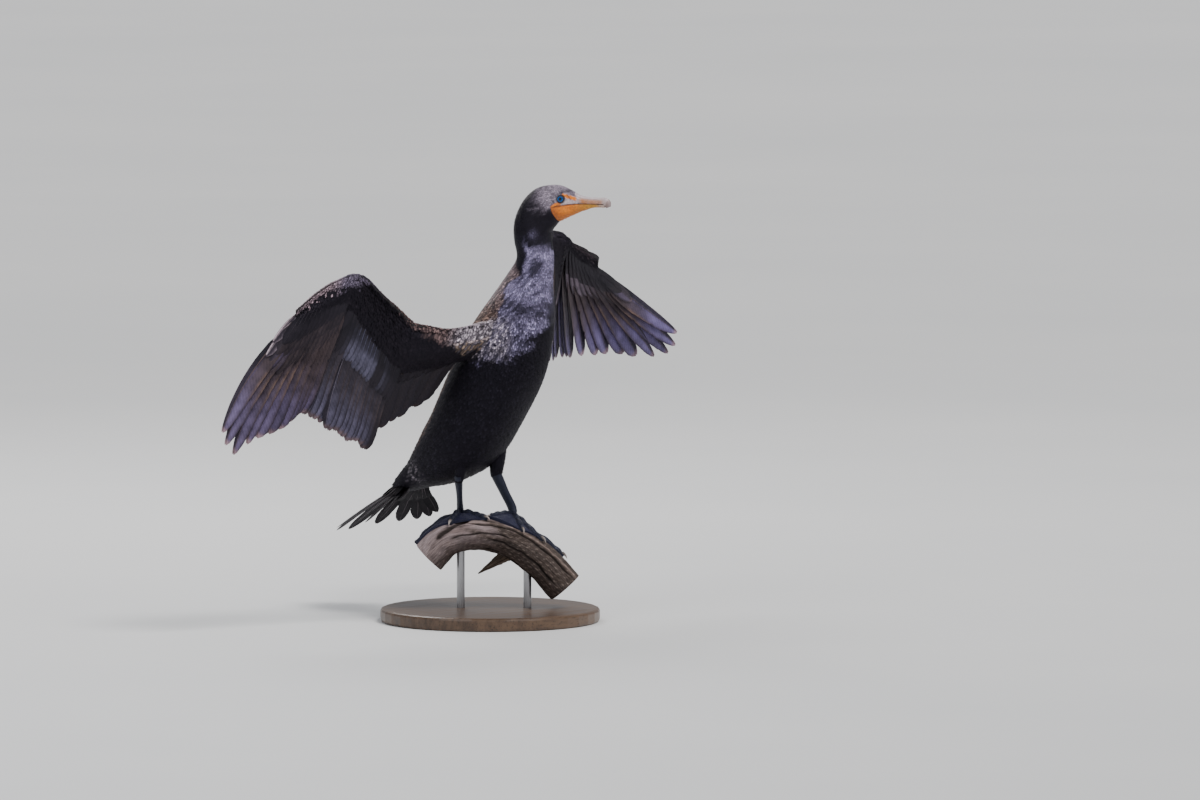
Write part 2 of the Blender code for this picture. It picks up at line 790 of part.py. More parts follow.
def coverts(wing):
    """One row of greater coverts over the flight feathers and one under them, following their bend."""
    rows = []
    for i in range(HAND_COVERTS):
        share = (i + 0.5) / HAND_COVERTS
        reach = 0.37 + 0.05 * share
        rows.append((wing.primary(share), 2 / 3 + share / 3, reach, HAND_COVERT_WIDTH, PRIMARY_BOW))
    for i in range(ARM_COVERTS):
        share = (i + 0.5) / ARM_COVERTS
        rows.append((wing.secondary(share), 2 / 3 - share / 3, 0.5, ARM_COVERT_WIDTH, SECONDARY_BOW))
    made = []
    for (root, tip), share, reach, width, bow in rows:
        normal = wing.normal(share)
        length = np.linalg.norm(tip - root)
        rise = bow_rise(bow, length, reach)
        depth = COVERT_DEPTH * float(np.interp(share, [r[0] for r in WING_CORE], [r[3] for r in WING_CORE]))
        for sign in (1, -1):
            base = root + unit(tip - root) * 3 + normal * sign * depth
            end = root + (tip - root) * reach + normal * (rise + sign * COVERT_CLEARANCE)
            made.append(vane(base, end, normal, width, COVERT_OUTLINE, bow=0.01 + 0.01 * sign))
    return made


def make_wing(name, places, side, home, finish, parent, torso_cutter):
    wing = Wing(places)
    mirror = np.array((side, 1, 1))
    verts, faces = wing_core(wing)
    obj = object_of(name, (verts * mirror, faces), finish, home, parent)
    pieces = [(v * mirror, f) for v, f in flight_feathers(wing) + coverts(wing) + alula(wing)]
    unite(obj, pieces)
    carve(obj, torso_cutter)


# Tail

TAIL_ROOT = (-170, 46)
TAIL_PITCH = 30
TAIL_DROOP = math.radians(35)
TAIL_SPREAD = math.radians(60)
TAIL_LONGEST = 184
TAIL_SHORTEST = 68
TAIL_BOW = 0.015
TAIL_LOUVRE = math.radians(6.4)
TAIL_STEP = 1.7
TAIL_CORE = (TORSO[0], (-163, 48.5, 29, 18.5, 29), (-181, 39, 28, 12, 24), (-198, 30, 28, 4, 17))


def make_tail(home, finish, parent):
    pitch = math.radians(TAIL_PITCH)
    back = np.array((0.0, math.cos(pitch), -math.sin(pitch)))
    dorsal = np.array((0.0, math.sin(pitch), math.cos(pitch)))
    stations = through(TAIL_CORE, 7)
    rings = [body_ring(station, TORSO_SIDES, shift=0 if i else -GAP) for i, station in enumerate(stations)]
    obj = object_of("tail", shell_of(rings), finish, home, parent)
    pieces = []
    for side in (1, -1):
        for i in range(TAIL_PAIRS):
            share = (i + 0.35) / (TAIL_PAIRS - 0.65)
            spread = TAIL_SPREAD * share
            out = unit(side * math.cos(TAIL_DROOP) * ACROSS - math.sin(TAIL_DROOP) * dorsal * share)
            length = TAIL_LONGEST + (TAIL_SHORTEST - TAIL_LONGEST) * share**0.8
            root = np.array((side * 14 * share, -TAIL_ROOT[0], TAIL_ROOT[1])) - dorsal * TAIL_STEP * i
            tip = root + length * (math.cos(spread) * back + math.sin(spread) * out)
            normal = unit(dorsal + side * share * 0.62 * ACROSS)
            tilt = -side * TAIL_LOUVRE
            outline = [(place, wide * TAIL_VANE_WIDTH) for place, wide in FLIGHT_OUTLINE]
            pieces.append(vane(root, tip, normal, 1, outline, TAIL_BOW, 0.5, tilt, TAIL_VANE_THICKNESS))
    unite(obj, pieces)


# Legs. A foot's toes are angle from the way along the perch towards its near side, length, root radius.

HEELS = {"left": (26, 13, 62), "right": (-28.5, 38.5, 55)}
ANKLE_PLACES = {"left": 19, "right": -39}
ANKLE_HEIGHT = {"left": 24, "right": 20}
TOES = {
    "left": ((4, 92, 4.2), (34, 66, 4.2), (62, 50, 3.8), (140, 34, 3.2)),
    "right": ((166, 78, 4.2), (108, 54, 4.2), (52, 50, 3.8), (12, 36, 3.2)),
}
# How far behind the perch's top each foot's toes begin, and how high they rise there.
FOOT_BACK = {"left": 20, "right": 26}
FOOT_ARCH = {"left": 15, "right": 12}
FOOT_ARCH_REACH = 42
FOOT_LIFT = 1.1
WEB_LIFT = 1.8
WEB_THICKNESS = 1.2
WEB_REACH = 0.8
WEB_STEP = 9
TOE_RIDGE = 1.3
TOE_CROWDING = 0.42
SHIN_IN_FOOT = 8
# The tarsus is a flat blade. From ankle to heel: half widths fore and aft, then across.
SHIN_RADII = {"left": (7.6, 8.4, 9.5), "right": (5.6, 5.4, 6.8)}
SHIN_WIDTHS = {"left": (5.0, 5.0, 6.6), "right": (4.2, 3.9, 5.6)}
# From heel to hidden top: places, then half widths fore and aft and across.
THIGH_TOPS = {"left": (27, 18, 124), "right": (-22, 34, 118)}
KNEE_AHEAD = (0, -3, 0)
THIGH_RADII = {"left": (10, 15, 22), "right": (7.6, 10.5, 13)}
THIGH_WIDTHS = {"left": (7.4, 13, 18), "right": (6.6, 9.5, 12)}
TOE_PROFILE = (
    (0.06, 1.25),
    (0.2, 1.05),
    (0.35, 1.15),
    (0.52, 0.95),
    (0.68, 1.0),
    (0.86, 0.65),
    (1.0, 0.14),
)


def arch(reach, rise):
    """How much higher than flat a foot is at a distance from its ankle."""
    return rise * max(0.0, 1 - reach / FOOT_ARCH_REACH) ** 1.5


def foot_columns(toes):
    """Lines that run out from the ankle: three on each toe and a few on each web."""
    columns = []
    for i, (angle, length, radius) in enumerate(toes):
        if i:
            before, other_length, _ = toes[i - 1]
            steps = math.ceil(abs(angle - before) / WEB_STEP)
            for share in (step / steps for step in range(1, steps)):
                reach = WEB_REACH * (other_length + (length - other_length) * share)
                columns.append((math.radians(before + (angle - before) * share), reach, 0, 0, 0))
        room = min(abs(angle - near[0]) for near in toes if near[0] != angle)
        turn = 1 if toes[-1][0] > toes[0][0] else -1
        for edge in (-turn, 0, turn):
            columns.append((math.radians(angle), length, radius, edge, math.radians(room)))
    return columns


def foot_shape(toes, rise):
    """A webbed foot drawn flat: one sheet with a knuckled ridge for each toe, running on into its claw."""
    columns = foot_columns(toes)
    shares = [share for share, _ in TOE_PROFILE]
    sheets = ([], [])
    for angle, length, radius, edge, room in columns:
        way = np.array((math.cos(angle), math.sin(angle), 0.0))
        side = np.array((-way[1], way[0], 0.0))
        for share, fat in TOE_PROFILE:
            reach = length * share
            spread = edge * min(radius * fat, TOE_CROWDING * reach * room)
            level = FOOT_LIFT + arch(reach, rise) + (0 if radius else WEB_LIFT)
            ridge = radius * fat * TOE_RIDGE if radius and not edge else 0.0
            place = way * reach + side * spread
            sheets[0].append(place + UP * (level + WEB_THICKNESS + ridge))
            sheets[1].append(place + UP * level)
    return closed_sheet(sheets, len(columns), len(shares))


def closed_sheet(sheets, columns, rows):
    """Two like grids of points joined round their edges, with both faces split into triangles alike."""
    verts = np.array(sheets[0] + sheets[1])
    under = columns * rows
    faces = []
    for i in range(columns - 1):
        for j in range(rows - 1):
            a, b = i * rows + j, (i + 1) * rows + j
            faces += [(a, b, b + 1), (a, b + 1, a + 1)]
            faces += [(under + b + 1, under + b, under + a), (under + a + 1, under + b + 1, under + a)]
    rim = [i * rows for i in range(columns)]
    rim += [(columns - 1) * rows + j for j in range(1, rows)]
    rim += [i * rows + rows - 1 for i in range(columns - 2, -1, -1)]
    rim += list(range(rows - 2, 0, -1))
    for a, b in zip(rim, rim[1:] + rim[:1]):
        faces += [(b, a, under + a), (b, under + a, under + b)]
    return verts, faces


def limb(points, radii, widths, sides=10, shifts=(0.0, 0.0), ends=(None, None)):
    """A tapered limb through a few points, with half widths fore and aft and across, and end axes."""
    rows = through([(*p, r, w) for p, r, w in zip(points, radii, widths)], 5)
    rings = []
    for i, row in enumerate(rows):
        ahead = rows[min(i + 1, len(rows) - 1)][:3] - rows[max(i - 1, 0)][:3]
        if i == 0 and ends[0] is not None:
            ahead = ends[0]
        if i == len(rows) - 1 and ends[1] is not None:
            ahead = ends[1]
        axis = unit(ahead)
        across = unit(ACROSS - axis * axis[0])
        fore = np.cross(axis, across)
        middle = row[:3] + axis * (shifts[0] * (i == 0) - shifts[1] * (i == len(rows) - 1))
        turns = np.linspace(0, 2 * math.pi, sides, endpoint=False)
        rings.append([middle + row[3] * math.sin(t) * fore + row[4] * math.cos(t) * across for t in turns])
    return shell_of(rings)


def make_foot(name, start, ankle, shin, home, skin, parent, lengths):
    """A foot wrapped onto the perch, with the low end of its leg."""
    foot = object_of("foot_" + name, foot_shape(TOES[name], FOOT_ARCH[name]), skin, home)
    flat = np.array([v.co for v in foot.data.vertices]) / MM
    for vertex, place in zip(foot.data.vertices, wrapped(flat, start, FOOT_BACK[name], lengths)):
        vertex.co = place * MM
    foot.data.flip_normals()
    foot.data.update()
    foot.parent = parent
    low = perch_point(start, perch_turn(start, -FOOT_BACK[name]), FOOT_ARCH[name] * 0.6)
    top = ankle + shin * SHIN_IN_FOOT
    deep, wide = SHIN_RADII[name][0], SHIN_WIDTHS[name][0]
    radii, widths = (deep, deep, deep), (wide * 1.2, wide * 1.1, wide)
    leg_end = limb((low, ankle, top), radii, widths, shifts=(0, GAP), ends=(None, shin))
    unite(foot, [leg_end], THIN_SOLVER)
    return foot


def make_leg(name, home, skin, feathers, parent, lengths, torso_cutter, perch_cutter):
    spine = through(PERCH_SPINE, SPINE_STEPS)
    start = float(np.interp(ANKLE_PLACES[name], spine[:, 0], np.linspace(0, 1, SPINE_STEPS)))
    heel = np.array(HEELS[name], float)
    ankle = perch_point(start, perch_turn(start, -FOOT_BACK[name]), ANKLE_HEIGHT[name])
    shin = unit(heel - ankle)
    foot = make_foot(name, start, ankle, shin, home, skin, parent, lengths)
    carve(foot, perch_cutter, solver=THIN_SOLVER)
    top = ankle + shin * SHIN_IN_FOOT
    form = limb((top, (top + heel) / 2, heel), SHIN_RADII[name], SHIN_WIDTHS[name])
    carve(object_of("tarsus_" + name, form, skin, home, parent), torso_cutter)
    crown = np.array(THIGH_TOPS[name], float)
    knee = (heel + crown) / 2 + KNEE_AHEAD
    form = limb((heel, knee, crown), THIGH_RADII[name], THIGH_WIDTHS[name], 14, (GAP, 0), (shin, None))
    carve(object_of("thigh_" + name, form, feathers, home, parent), torso_cutter)


def main():
    clear_scene()
    home = collection("cormorant")
    helpers = collection("cutters")
    feathers = material("black_feathers", (0.016, 0.014, 0.018), 0.45)
    wing_feathers = material("wing_feathers", (0.05, 0.04, 0.055), 0.4)
    bare_skin = material("leg_skin", (0.012, 0.013, 0.022), 0.35)
    bill = material("bill_horn", (0.45, 0.36, 0.36), 0.4)
    orange = material("throat_skin", (0.85, 0.34, 0.04), 0.45)
    iris = material("eye", (0.02, 0.35, 0.55), 0.08)
    drift = material("driftwood", (0.3, 0.24, 0.2), 0.85)
    wood = material("stand_wood", (0.05, 0.035, 0.028), 0.4)
    steel = material("stand_steel", (0.35, 0.35, 0.36), 0.3, 1.0)
    stand = bpy.data.objects.new("stand_origin", None)
    home.objects.link(stand)
    bird = bpy.data.objects.new("bird_origin", None)
    bird.location.z = PERCH_HEIGHT * MM
    home.objects.link(bird)
    perch = make_perch(home, drift, bird)
    perch_cutter = swollen(perch, helpers)
    torso_cutter = swollen(make_torso(home, feathers, bird), helpers)
    make_neck(home, feathers, bird)
    make_head(home, helpers, (feathers, bill, orange, iris), bird)
    make_tail(home, wing_feathers, bird)
    make_wing("wing_left", WING_LEFT, 1, home, wing_feathers, bird, torso_cutter)
    make_wing("wing_right", WING_RIGHT, -1, home, wing_feathers, bird, torso_cutter)
    lengths = perch_lengths()
    for name in ("left", "right"):
        make_leg(name, home, bare_skin, feathers, bird, lengths, torso_cutter, perch_cutter)
    make_stand(home, helpers, wood, steel, stand, perch)


main()
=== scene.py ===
"""Looks of a life-size double-crested cormorant that dries its wings on a length of driftwood.

Helpers work in millimetres in the bird's own frame: it faces -Y, its left is +X, Z is up, and zero is
the top of the perch between its feet. Meshes become metres in the world's frame as they are made.
"""

import json
import math

import bpy
import numpy as np
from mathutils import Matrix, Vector
from mathutils.bvhtree import BVHTree

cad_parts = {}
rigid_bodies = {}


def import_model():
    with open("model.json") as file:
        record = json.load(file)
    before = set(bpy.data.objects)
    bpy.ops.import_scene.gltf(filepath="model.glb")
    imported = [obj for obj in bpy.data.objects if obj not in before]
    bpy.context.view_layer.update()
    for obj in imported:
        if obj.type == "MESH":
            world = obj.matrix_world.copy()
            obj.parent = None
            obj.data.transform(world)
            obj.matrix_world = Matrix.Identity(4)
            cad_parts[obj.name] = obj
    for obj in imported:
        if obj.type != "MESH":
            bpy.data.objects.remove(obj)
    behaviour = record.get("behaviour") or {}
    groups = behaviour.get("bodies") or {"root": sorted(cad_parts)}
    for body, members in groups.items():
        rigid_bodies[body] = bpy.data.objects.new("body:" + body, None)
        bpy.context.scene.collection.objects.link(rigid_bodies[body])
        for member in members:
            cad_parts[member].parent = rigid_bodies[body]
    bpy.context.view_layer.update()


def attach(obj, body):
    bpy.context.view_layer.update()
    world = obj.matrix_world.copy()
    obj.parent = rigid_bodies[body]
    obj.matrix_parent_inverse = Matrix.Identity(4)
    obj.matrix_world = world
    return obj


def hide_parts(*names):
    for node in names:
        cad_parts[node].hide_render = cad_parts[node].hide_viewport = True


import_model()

MM = 0.001
BIRD_HEIGHT = 156
RIGHT = np.array((math.sqrt(0.5), -math.sqrt(0.5), 0.0))
NEAR = np.array((-math.sqrt(0.5), -math.sqrt(0.5), 0.0))
UP = np.array((0.0, 0.0, 1.0))
ACROSS = np.array((1.0, 0.0, 0.0))

# Camera: the photo's frame is 1200 pixels wide, 1.5 mm of the bird to each pixel.
PIXEL = 1.5
FRAME_WIDTH = 1200
PHOTO_CENTRE = (600, 400)
PERCH_TOP_PIXEL = (490, 518)
VIEW_DISTANCE = 20.0
VIEW_ELEVATION = math.radians(5)
SENSOR = 36


def unit(v):
    """Vectors brought to a length of one."""
    v = np.asarray(v, float)
    return v / np.maximum(np.linalg.norm(v, axis=-1, keepdims=True), 1e-9)


def at(points, share):
    """The row at a share of the way along a smooth curve through a few rows of numbers."""
    rows = np.asarray(points, float)
    place = min(max(share, 0.0), 1.0) * (len(rows) - 1)
    i = min(int(place), len(rows) - 2)
    t = place - i
    b, c = rows[i], rows[i + 1]
    a = rows[i - 1] if i else 2 * b - c
    d = rows[i + 2] if i + 2 < len(rows) else 2 * c - b
    return 0.5 * (2 * b + (c - a) * t + (2 * a - 5 * b + 4 * c - d) * t**2 + (3 * b - a - 3 * c + d) * t**3)


def through(points, count):
    """A smooth curve through a few rows of numbers, as evenly spaced rows."""
    return np.array([at(points, share) for share in np.linspace(0, 1, count)])


def ripple(x, y, seed, octaves=4):
    """Smooth seeded noise of about -1 to 1 that has its first swell every unit."""
    rng = np.random.default_rng(seed)
    total = 0.0
    for octave in range(octaves):
        scale = 1.9**octave
        for _ in range(3):
            turn, phase = rng.uniform(0, math.pi), rng.uniform(0, 2 * math.pi)
            wave = (math.cos(turn) * x + math.sin(turn) * y) * scale * 2 * math.pi * rng.uniform(0.7, 1.2)
            total = total + np.sin(wave + phase) / (scale * 2.2)
    return total


def rising(value, low, high):
    """From 0 at the low end to 1 at the high end, smoothly."""
    t = np.clip((value - low) / (high - low), 0, 1)
    return t * t * (3 - 2 * t)


def hump(value, middle, width):
    """1 at the middle, and falling away smoothly on both sides of it."""
    return np.exp(-(((value - middle) / width) ** 2))


def listed(table, value, column=1):
    """A measure at a value, read between the rows of a table that starts each row with such a value."""
    rows = np.array(table, float)
    return np.interp(value, rows[:, 0], rows[:, column])


def over(paint, colour, share):
    """Lays a colour over a paint by a share at each place."""
    share = np.clip(share, 0, 1)[..., None]
    return np.asarray(paint) * (1 - share) + np.asarray(colour) * share


def bow_rise(bow, length, share):
    """How far a bent line stands off the straight one between its ends."""
    return bow * length * 4 * share * (1 - share)


def full_turn(count):
    """Angles evenly spaced round a full turn."""
    return np.linspace(0, 2 * math.pi, count, endpoint=False)


def out_of_round(turns, side, up):
    """Directions out of a round section at each of its turns."""
    return np.cos(turns)[..., None] * side + np.sin(turns)[..., None] * up


# Materials


class Finish:
    """A material whose nodes are added and joined a few at a time."""

    def __init__(self, name, roughness, **settings):
        self.material = bpy.data.materials.new(name)
        self.material.use_nodes = True
        self.nodes = self.material.node_tree.nodes
        self.links = self.material.node_tree.links
        self.shader = self.nodes["Principled BSDF"]
        self.shader.inputs["Roughness"].default_value = roughness
        for socket, value in settings.items():
            self.put(self.shader.inputs[socket.replace("_", " ")], value)

    def put(self, socket, value):
        """Joins a socket to another node's output, or sets it to a number or a colour."""
        if isinstance(value, bpy.types.NodeSocket):
            self.links.new(value, socket)
        elif isinstance(value, tuple) and len(value) == 3 and len(socket.default_value) == 4:
            socket.default_value = (*value, 1.0)
        else:
            socket.default_value = value

    def add(self, kind, out=0, settings=None, **inputs):
        """Adds a node, sets it up and gives one of its outputs."""
        node = self.nodes.new(kind)
        for key, value in (settings or {}).items():
            setattr(node, key, value)
        for key, value in inputs.items():
            self.put(node.inputs[int(key[1:]) if key[0] == "i" and key[1:].isdigit() else key], value)
        return node.outputs[out]

    def noise(self, vector, scale, detail=4.0, roughness=0.55):
        return self.add("ShaderNodeTexNoise", i0=vector, Scale=scale, Detail=detail, Roughness=roughness)

    def place(self):
        """Positions in metres on the object."""
        return self.add("ShaderNodeTexCoord", 3)

    def uv(self, name):
        return self.add("ShaderNodeUVMap", settings={"uv_map": name})

    def attribute(self, name, out=0):
        return self.add("ShaderNodeAttribute", out, {"attribute_name": name})

    def stretch(self, vector, scale):
        return self.add("ShaderNodeMapping", i0=vector, Scale=scale)

    def sum(self, operation, a, b=0.0):
        return self.add("ShaderNodeMath", settings={"operation": operation}, i0=a, i1=b)

    def plus(self, a, b, share):
        """One value with a share of another added."""
        return self.sum("ADD", a, self.sum("MULTIPLY", b, share))

    def ramp(self, value, stops):
        node = self.nodes.new("ShaderNodeValToRGB")
        self.links.new(value, node.inputs[0])
        elements = node.color_ramp.elements
        while len(elements) < len(stops):
            elements.new(0.5)
        for element, (position, colour) in zip(elements, stops):
            element.position = position
            grey = (colour,) * 3 if isinstance(colour, (int, float)) else colour
            element.color = (*grey, 1.0)
        return node.outputs[0]

    def mix(self, factor, a, b, blend="MIX"):
        node = self.nodes.new("ShaderNodeMix")
        node.data_type = "RGBA"
        node.blend_type = blend
        self.put(node.inputs[0], factor)
        self.put(node.inputs[6], a)
        self.put(node.inputs[7], b)
        return node.outputs[2]

    def times(self, a, b):
        return self.mix(1.0, a, b, "MULTIPLY")

    def colour(self, value):
        self.put(self.shader.inputs["Base Color"], value)

    def painted(self, shade):
        """Colours the surface with the mesh's own paint, darker and lighter by a shade."""
        self.colour(self.times(self.attribute("paint"), shade))

    def rough(self, value, low, high, at_low=0.3, at_high=0.7):
        """Makes the surface rougher as a value rises."""
        self.put(self.shader.inputs["Roughness"], self.ramp(value, ((at_low, low), (at_high, high))))

    def bump(self, height, strength, distance):
        """Raises the surface by a height, with the distance in metres."""
        made = self.add("ShaderNodeBump", Strength=strength, Distance=distance, Height=height)
        self.put(self.shader.inputs["Normal"], made)


def barb_lines(made, pitch, slant):
    """Waves along slanting barbs either side of the shaft, on a map in millimetres."""
    split = made.nodes.new("ShaderNodeSeparateXYZ")
    made.links.new(made.uv("Barbs"), split.inputs[0])
    lean = made.sum("MULTIPLY", made.sum("ABSOLUTE", split.outputs[0]), -slant)
    place = made.sum("ADD", split.outputs[1], lean)
    return made.sum("SINE", made.sum("MULTIPLY", place, 2 * math.pi / pitch))


def plumage(name, roughness, gloss, sheen, tint, variation=0.45):
    """Small body feathers: their painted colour, streaked by fine barbs."""
    made = Finish(
        name,
        roughness,
        Specular_IOR_Level=gloss,
        Specular_Tint=tint,
        Sheen_Weight=sheen,
        Sheen_Roughness=0.4,
        Sheen_Tint=tint,
    )
    place = made.place()
    barbs = barb_lines(made, 0.8, 1.1)
    patches = made.noise(place, 90.0, 5.0, 0.65)
    fine = made.noise(place, 1500.0, 2.0)
    tone = made.plus(patches, barbs, 0.06)
    shade = made.ramp(tone, ((0.3, 1.0 - variation), (0.5, 1.0), (0.72, 1.0 + variation)))
    made.painted(shade)
    made.rough(fine, roughness - 0.08, roughness + 0.12, 0.25, 0.75)
    made.bump(made.plus(fine, barbs, 0.4), 0.4, 0.0004)
    return made.material


def tail_finish():
    """The stiff black tail feathers, with long fine barbs and worn grey patches."""
    made = Finish("tail_feathers_black", 0.55, Specular_IOR_Level=0.16, Specular_Tint=(0.85, 0.8, 1.0))
    barbs = barb_lines(made, 1.3, 1.35)
    worn = made.noise(made.place(), 110.0, 5.0, 0.65)
    tone = made.plus(worn, barbs, 0.08)
    shade = made.ramp(tone, ((0.3, 0.6), (0.55, 1.0), (0.75, 1.9)))
    made.painted(shade)
    made.rough(worn, 0.48, 0.64)
    made.bump(barbs, 0.3, 0.00025)
    return made.material


def vane_finish():
    """Large wing feathers, with barbs, broader waves and blotches on their painted colour."""
    made = Finish(
        "wing_feathers_fine",
        0.42,
        Specular_IOR_Level=0.32,
        Specular_Tint=(0.84, 0.78, 1.0),
        Sheen_Weight=0.02,
        Sheen_Roughness=0.35,
        Sheen_Tint=(0.72, 0.66, 0.95),
    )
    barbs = barb_lines(made, 1.3, 1.35)
    wide = barb_lines(made, 7.3, 1.35)
    blotch = made.noise(made.place(), 70.0, 5.0, 0.6)
    tone = made.plus(made.plus(blotch, barbs, 0.08), wide, 0.05)
    shade = made.ramp(tone, ((0.28, 0.55), (0.5, 1.0), (0.74, 1.4)))
    made.painted(shade)
    made.rough(blotch, 0.36, 0.5)
    made.bump(barbs, 0.35, 0.00025)
    return made.material


def horn_finish():
    """Grey-pink horn with long faint streaks and brown mottling towards the tip."""
    made = Finish("bill_horn_fine", 0.33, Specular_IOR_Level=0.5, Coat_Weight=0.15, Coat_Roughness=0.3)
    grain = made.uv("Grain")
    streaks = made.noise(made.stretch(grain, (0.9, 0.12, 1.0)), 1.0, 5.0, 0.65)
    specks = made.noise(grain, 0.9, 6.0, 0.7)
    shade = made.ramp(streaks, ((0.3, 0.72), (0.6, 1.05), (0.75, 1.2)))
    marks = made.ramp(specks, ((0.52, 0.0), (0.66, 1.0)))
    base = made.times(made.attribute("paint"), shade)
    brown = made.sum("MULTIPLY", marks, made.attribute("mottle", 2))
    made.colour(made.mix(brown, base, (0.13, 0.075, 0.05)))
    made.rough(streaks, 0.26, 0.46, 0.2, 0.8)
    made.bump(made.plus(streaks, specks, 0.4), 0.35, 0.0006)
    return made.material


def skin_finish(name, roughness, scale, strength, tint=(1.0, 1.0, 1.0)):
    """Bare skin painted by the piece, with fine creases in cells."""
    made = Finish(name, roughness, Specular_IOR_Level=0.5, Specular_Tint=tint)
    place = made.place()
    settings = {"feature": "DISTANCE_TO_EDGE"}
    cells = made.add("ShaderNodeTexVoronoi", settings=settings, i0=place, Scale=scale, Randomness=0.85)
    wrinkles = made.noise(place, scale * 0.45, 6.0, 0.6)
    shade = made.ramp(wrinkles, ((0.3, 0.7), (0.7, 1.25)))
    made.painted(shade)
    edge = made.ramp(cells, ((0.0, 0.0), (0.16, 1.0)))
    made.rough(wrinkles, roughness - 0.08, roughness + 0.12)
    made.bump(made.sum("ADD", edge, wrinkles), strength, 0.0004)
    return made.material


def eye_finish():
    """A wet eye, with fine rays in its iris."""
    made = Finish("eye_wet", 0.1, Specular_IOR_Level=0.22, Coat_Weight=0.2, Coat_Roughness=0.03)
    rays = made.noise(made.stretch(made.uv("Grain"), (3.0, 0.35, 1.0)), 6.0, 3.0)
    shade = made.ramp(rays, ((0.3, 0.65), (0.7, 1.3)))
    made.painted(shade)
    return made.material


def driftwood_finish():
    """Weathered wood: silvery with long grain, dark with painted shade in its cracks, paler and pinker at
    its left end.
    """
    made = Finish("driftwood_fine", 0.82, Specular_IOR_Level=0.25)
    grain = made.uv("Grain")
    lines = made.noise(made.stretch(grain, (0.025, 0.3, 1.0)), 1.0, 9.0, 0.72)
    fine = made.noise(made.stretch(grain, (0.09, 1.2, 1.0)), 1.0, 6.0, 0.75)
    patches = made.noise(made.stretch(grain, (0.02, 0.05, 1.0)), 1.0, 6.0, 0.6)
    shade = made.ramp(lines, ((0.34, 0.2), (0.45, 0.75), (0.58, 1.15), (0.7, 1.4)))
    streaks = made.ramp(fine, ((0.36, 0.5), (0.5, 1.0), (0.66, 1.25)))
    tints = ((0.35, (0.72, 0.66, 0.62)), (0.6, (1.0, 0.98, 0.97)), (0.75, (1.2, 1.1, 1.02)))
    tint = made.ramp(patches, tints)
    paint = made.times(made.attribute("paint"), tint)
    made.colour(made.times(made.times(paint, shade), streaks))
    made.rough(fine, 0.7, 0.95)
    made.bump(made.plus(fine, lines, 1.3), 0.75, 0.0014)
    return made.material


def stand_wood_finish():
    """Dark satin wood, with rings that wander and fine pores."""
    made = Finish("stand_wood_satin", 0.38, Specular_IOR_Level=0.45, Coat_Weight=0.2, Coat_Roughness=0.25)
    place = made.place()
    bend = made.noise(place, 3.0, 3.0)
    grain = made.noise(made.stretch(place, (7.0, 130.0, 60.0)), 1.0, 7.0, 0.65)
    pores = made.noise(made.stretch(place, (60.0, 900.0, 400.0)), 1.0, 3.0)
    browns = ((0.42, (0.022, 0.012, 0.007)), (0.62, (0.075, 0.042, 0.024)), (0.8, (0.12, 0.07, 0.04)))
    colour = made.ramp(made.plus(grain, bend, 0.35), browns)
    made.colour(made.mix(made.ramp(pores, ((0.3, 1.0), (0.42, 0.0))), colour, (0.01, 0.006, 0.004)))
    made.rough(grain, 0.3, 0.46)
    made.bump(pores, 0.12, 0.0003)
    return made.material


def steel_finish():
    """Satin steel, brushed along the rods."""
    made = Finish("stand_steel_satin", 0.3, Metallic=1.0)
    brushed = made.noise(made.stretch(made.place(), (900.0, 900.0, 14.0)), 1.0, 4.0)
    made.colour(made.ramp(brushed, ((0.3, (0.3, 0.3, 0.31)), (0.7, (0.46, 0.46, 0.47)))))
    made.rough(brushed, 0.24, 0.38)
    made.bump(brushed, 0.15, 0.0002)
    return made.material


# Meshes


def outward(verts, faces):
    """Turns the faces round if the closed shape they make has a negative volume."""
    volume = 0.0
    for block in faces:
        corners = verts[block]
        for k in range(1, block.shape[1] - 1):
            volume += np.einsum("ij,ij->", corners[:, 0], np.cross(corners[:, k], corners[:, k + 1]))
    return faces if volume > 0 else [block[:, ::-1] for block in faces]


def piece(name, verts, faces, finish, replaces=(), maps=None, paint=None, values=None, sharp=45):
    """Makes a mesh from points in millimetres and blocks of like faces, and lets it ride on the part."""
    verts = np.asarray(verts, float).reshape(-1, 3)
    faces = outward(verts, [np.asarray(block, int) for block in faces if len(block)])
    sizes = np.concatenate([np.full(len(block), block.shape[1]) for block in faces])
    corners = np.concatenate([block.ravel() for block in faces])
    mesh = bpy.data.meshes.new(name)
    mesh.vertices.add(len(verts))
    mesh.vertices.foreach_set("co", ((verts + (0, 0, BIRD_HEIGHT)) * MM).ravel())
    mesh.loops.add(len(corners))
    mesh.loops.foreach_set("vertex_index", corners)
    mesh.polygons.add(len(sizes))
    mesh.polygons.foreach_set("loop_start", np.concatenate(((0,), np.cumsum(sizes)[:-1])))
    for key, values_of in (maps or {}).items():
        layer = mesh.uv_layers.new(name=key)
        layer.data.foreach_set("uv", np.asarray(values_of, float)[corners].ravel())
    mesh.update(calc_edges=True)
    if paint is not None:
        layer = mesh.attributes.new("paint", "FLOAT_COLOR", "POINT")
        rgba = np.concatenate((np.asarray(paint, float), np.ones((len(verts), 1))), axis=1)
        layer.data.foreach_set("color", rgba.ravel())
    for key, values_of in (values or {}).items():
        layer = mesh.attributes.new(key, "FLOAT", "POINT")
        layer.data.foreach_set("value", np.asarray(values_of, float))
    mesh.validate()
    mesh.shade_smooth()
    mesh.set_sharp_from_angle(angle=math.radians(sharp))
    mesh.materials.append(finish)
    obj = bpy.data.objects.new(name, mesh)
    bpy.context.scene.collection.objects.link(obj)
    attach(obj, "root")
    if replaces:
        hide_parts(*replaces)


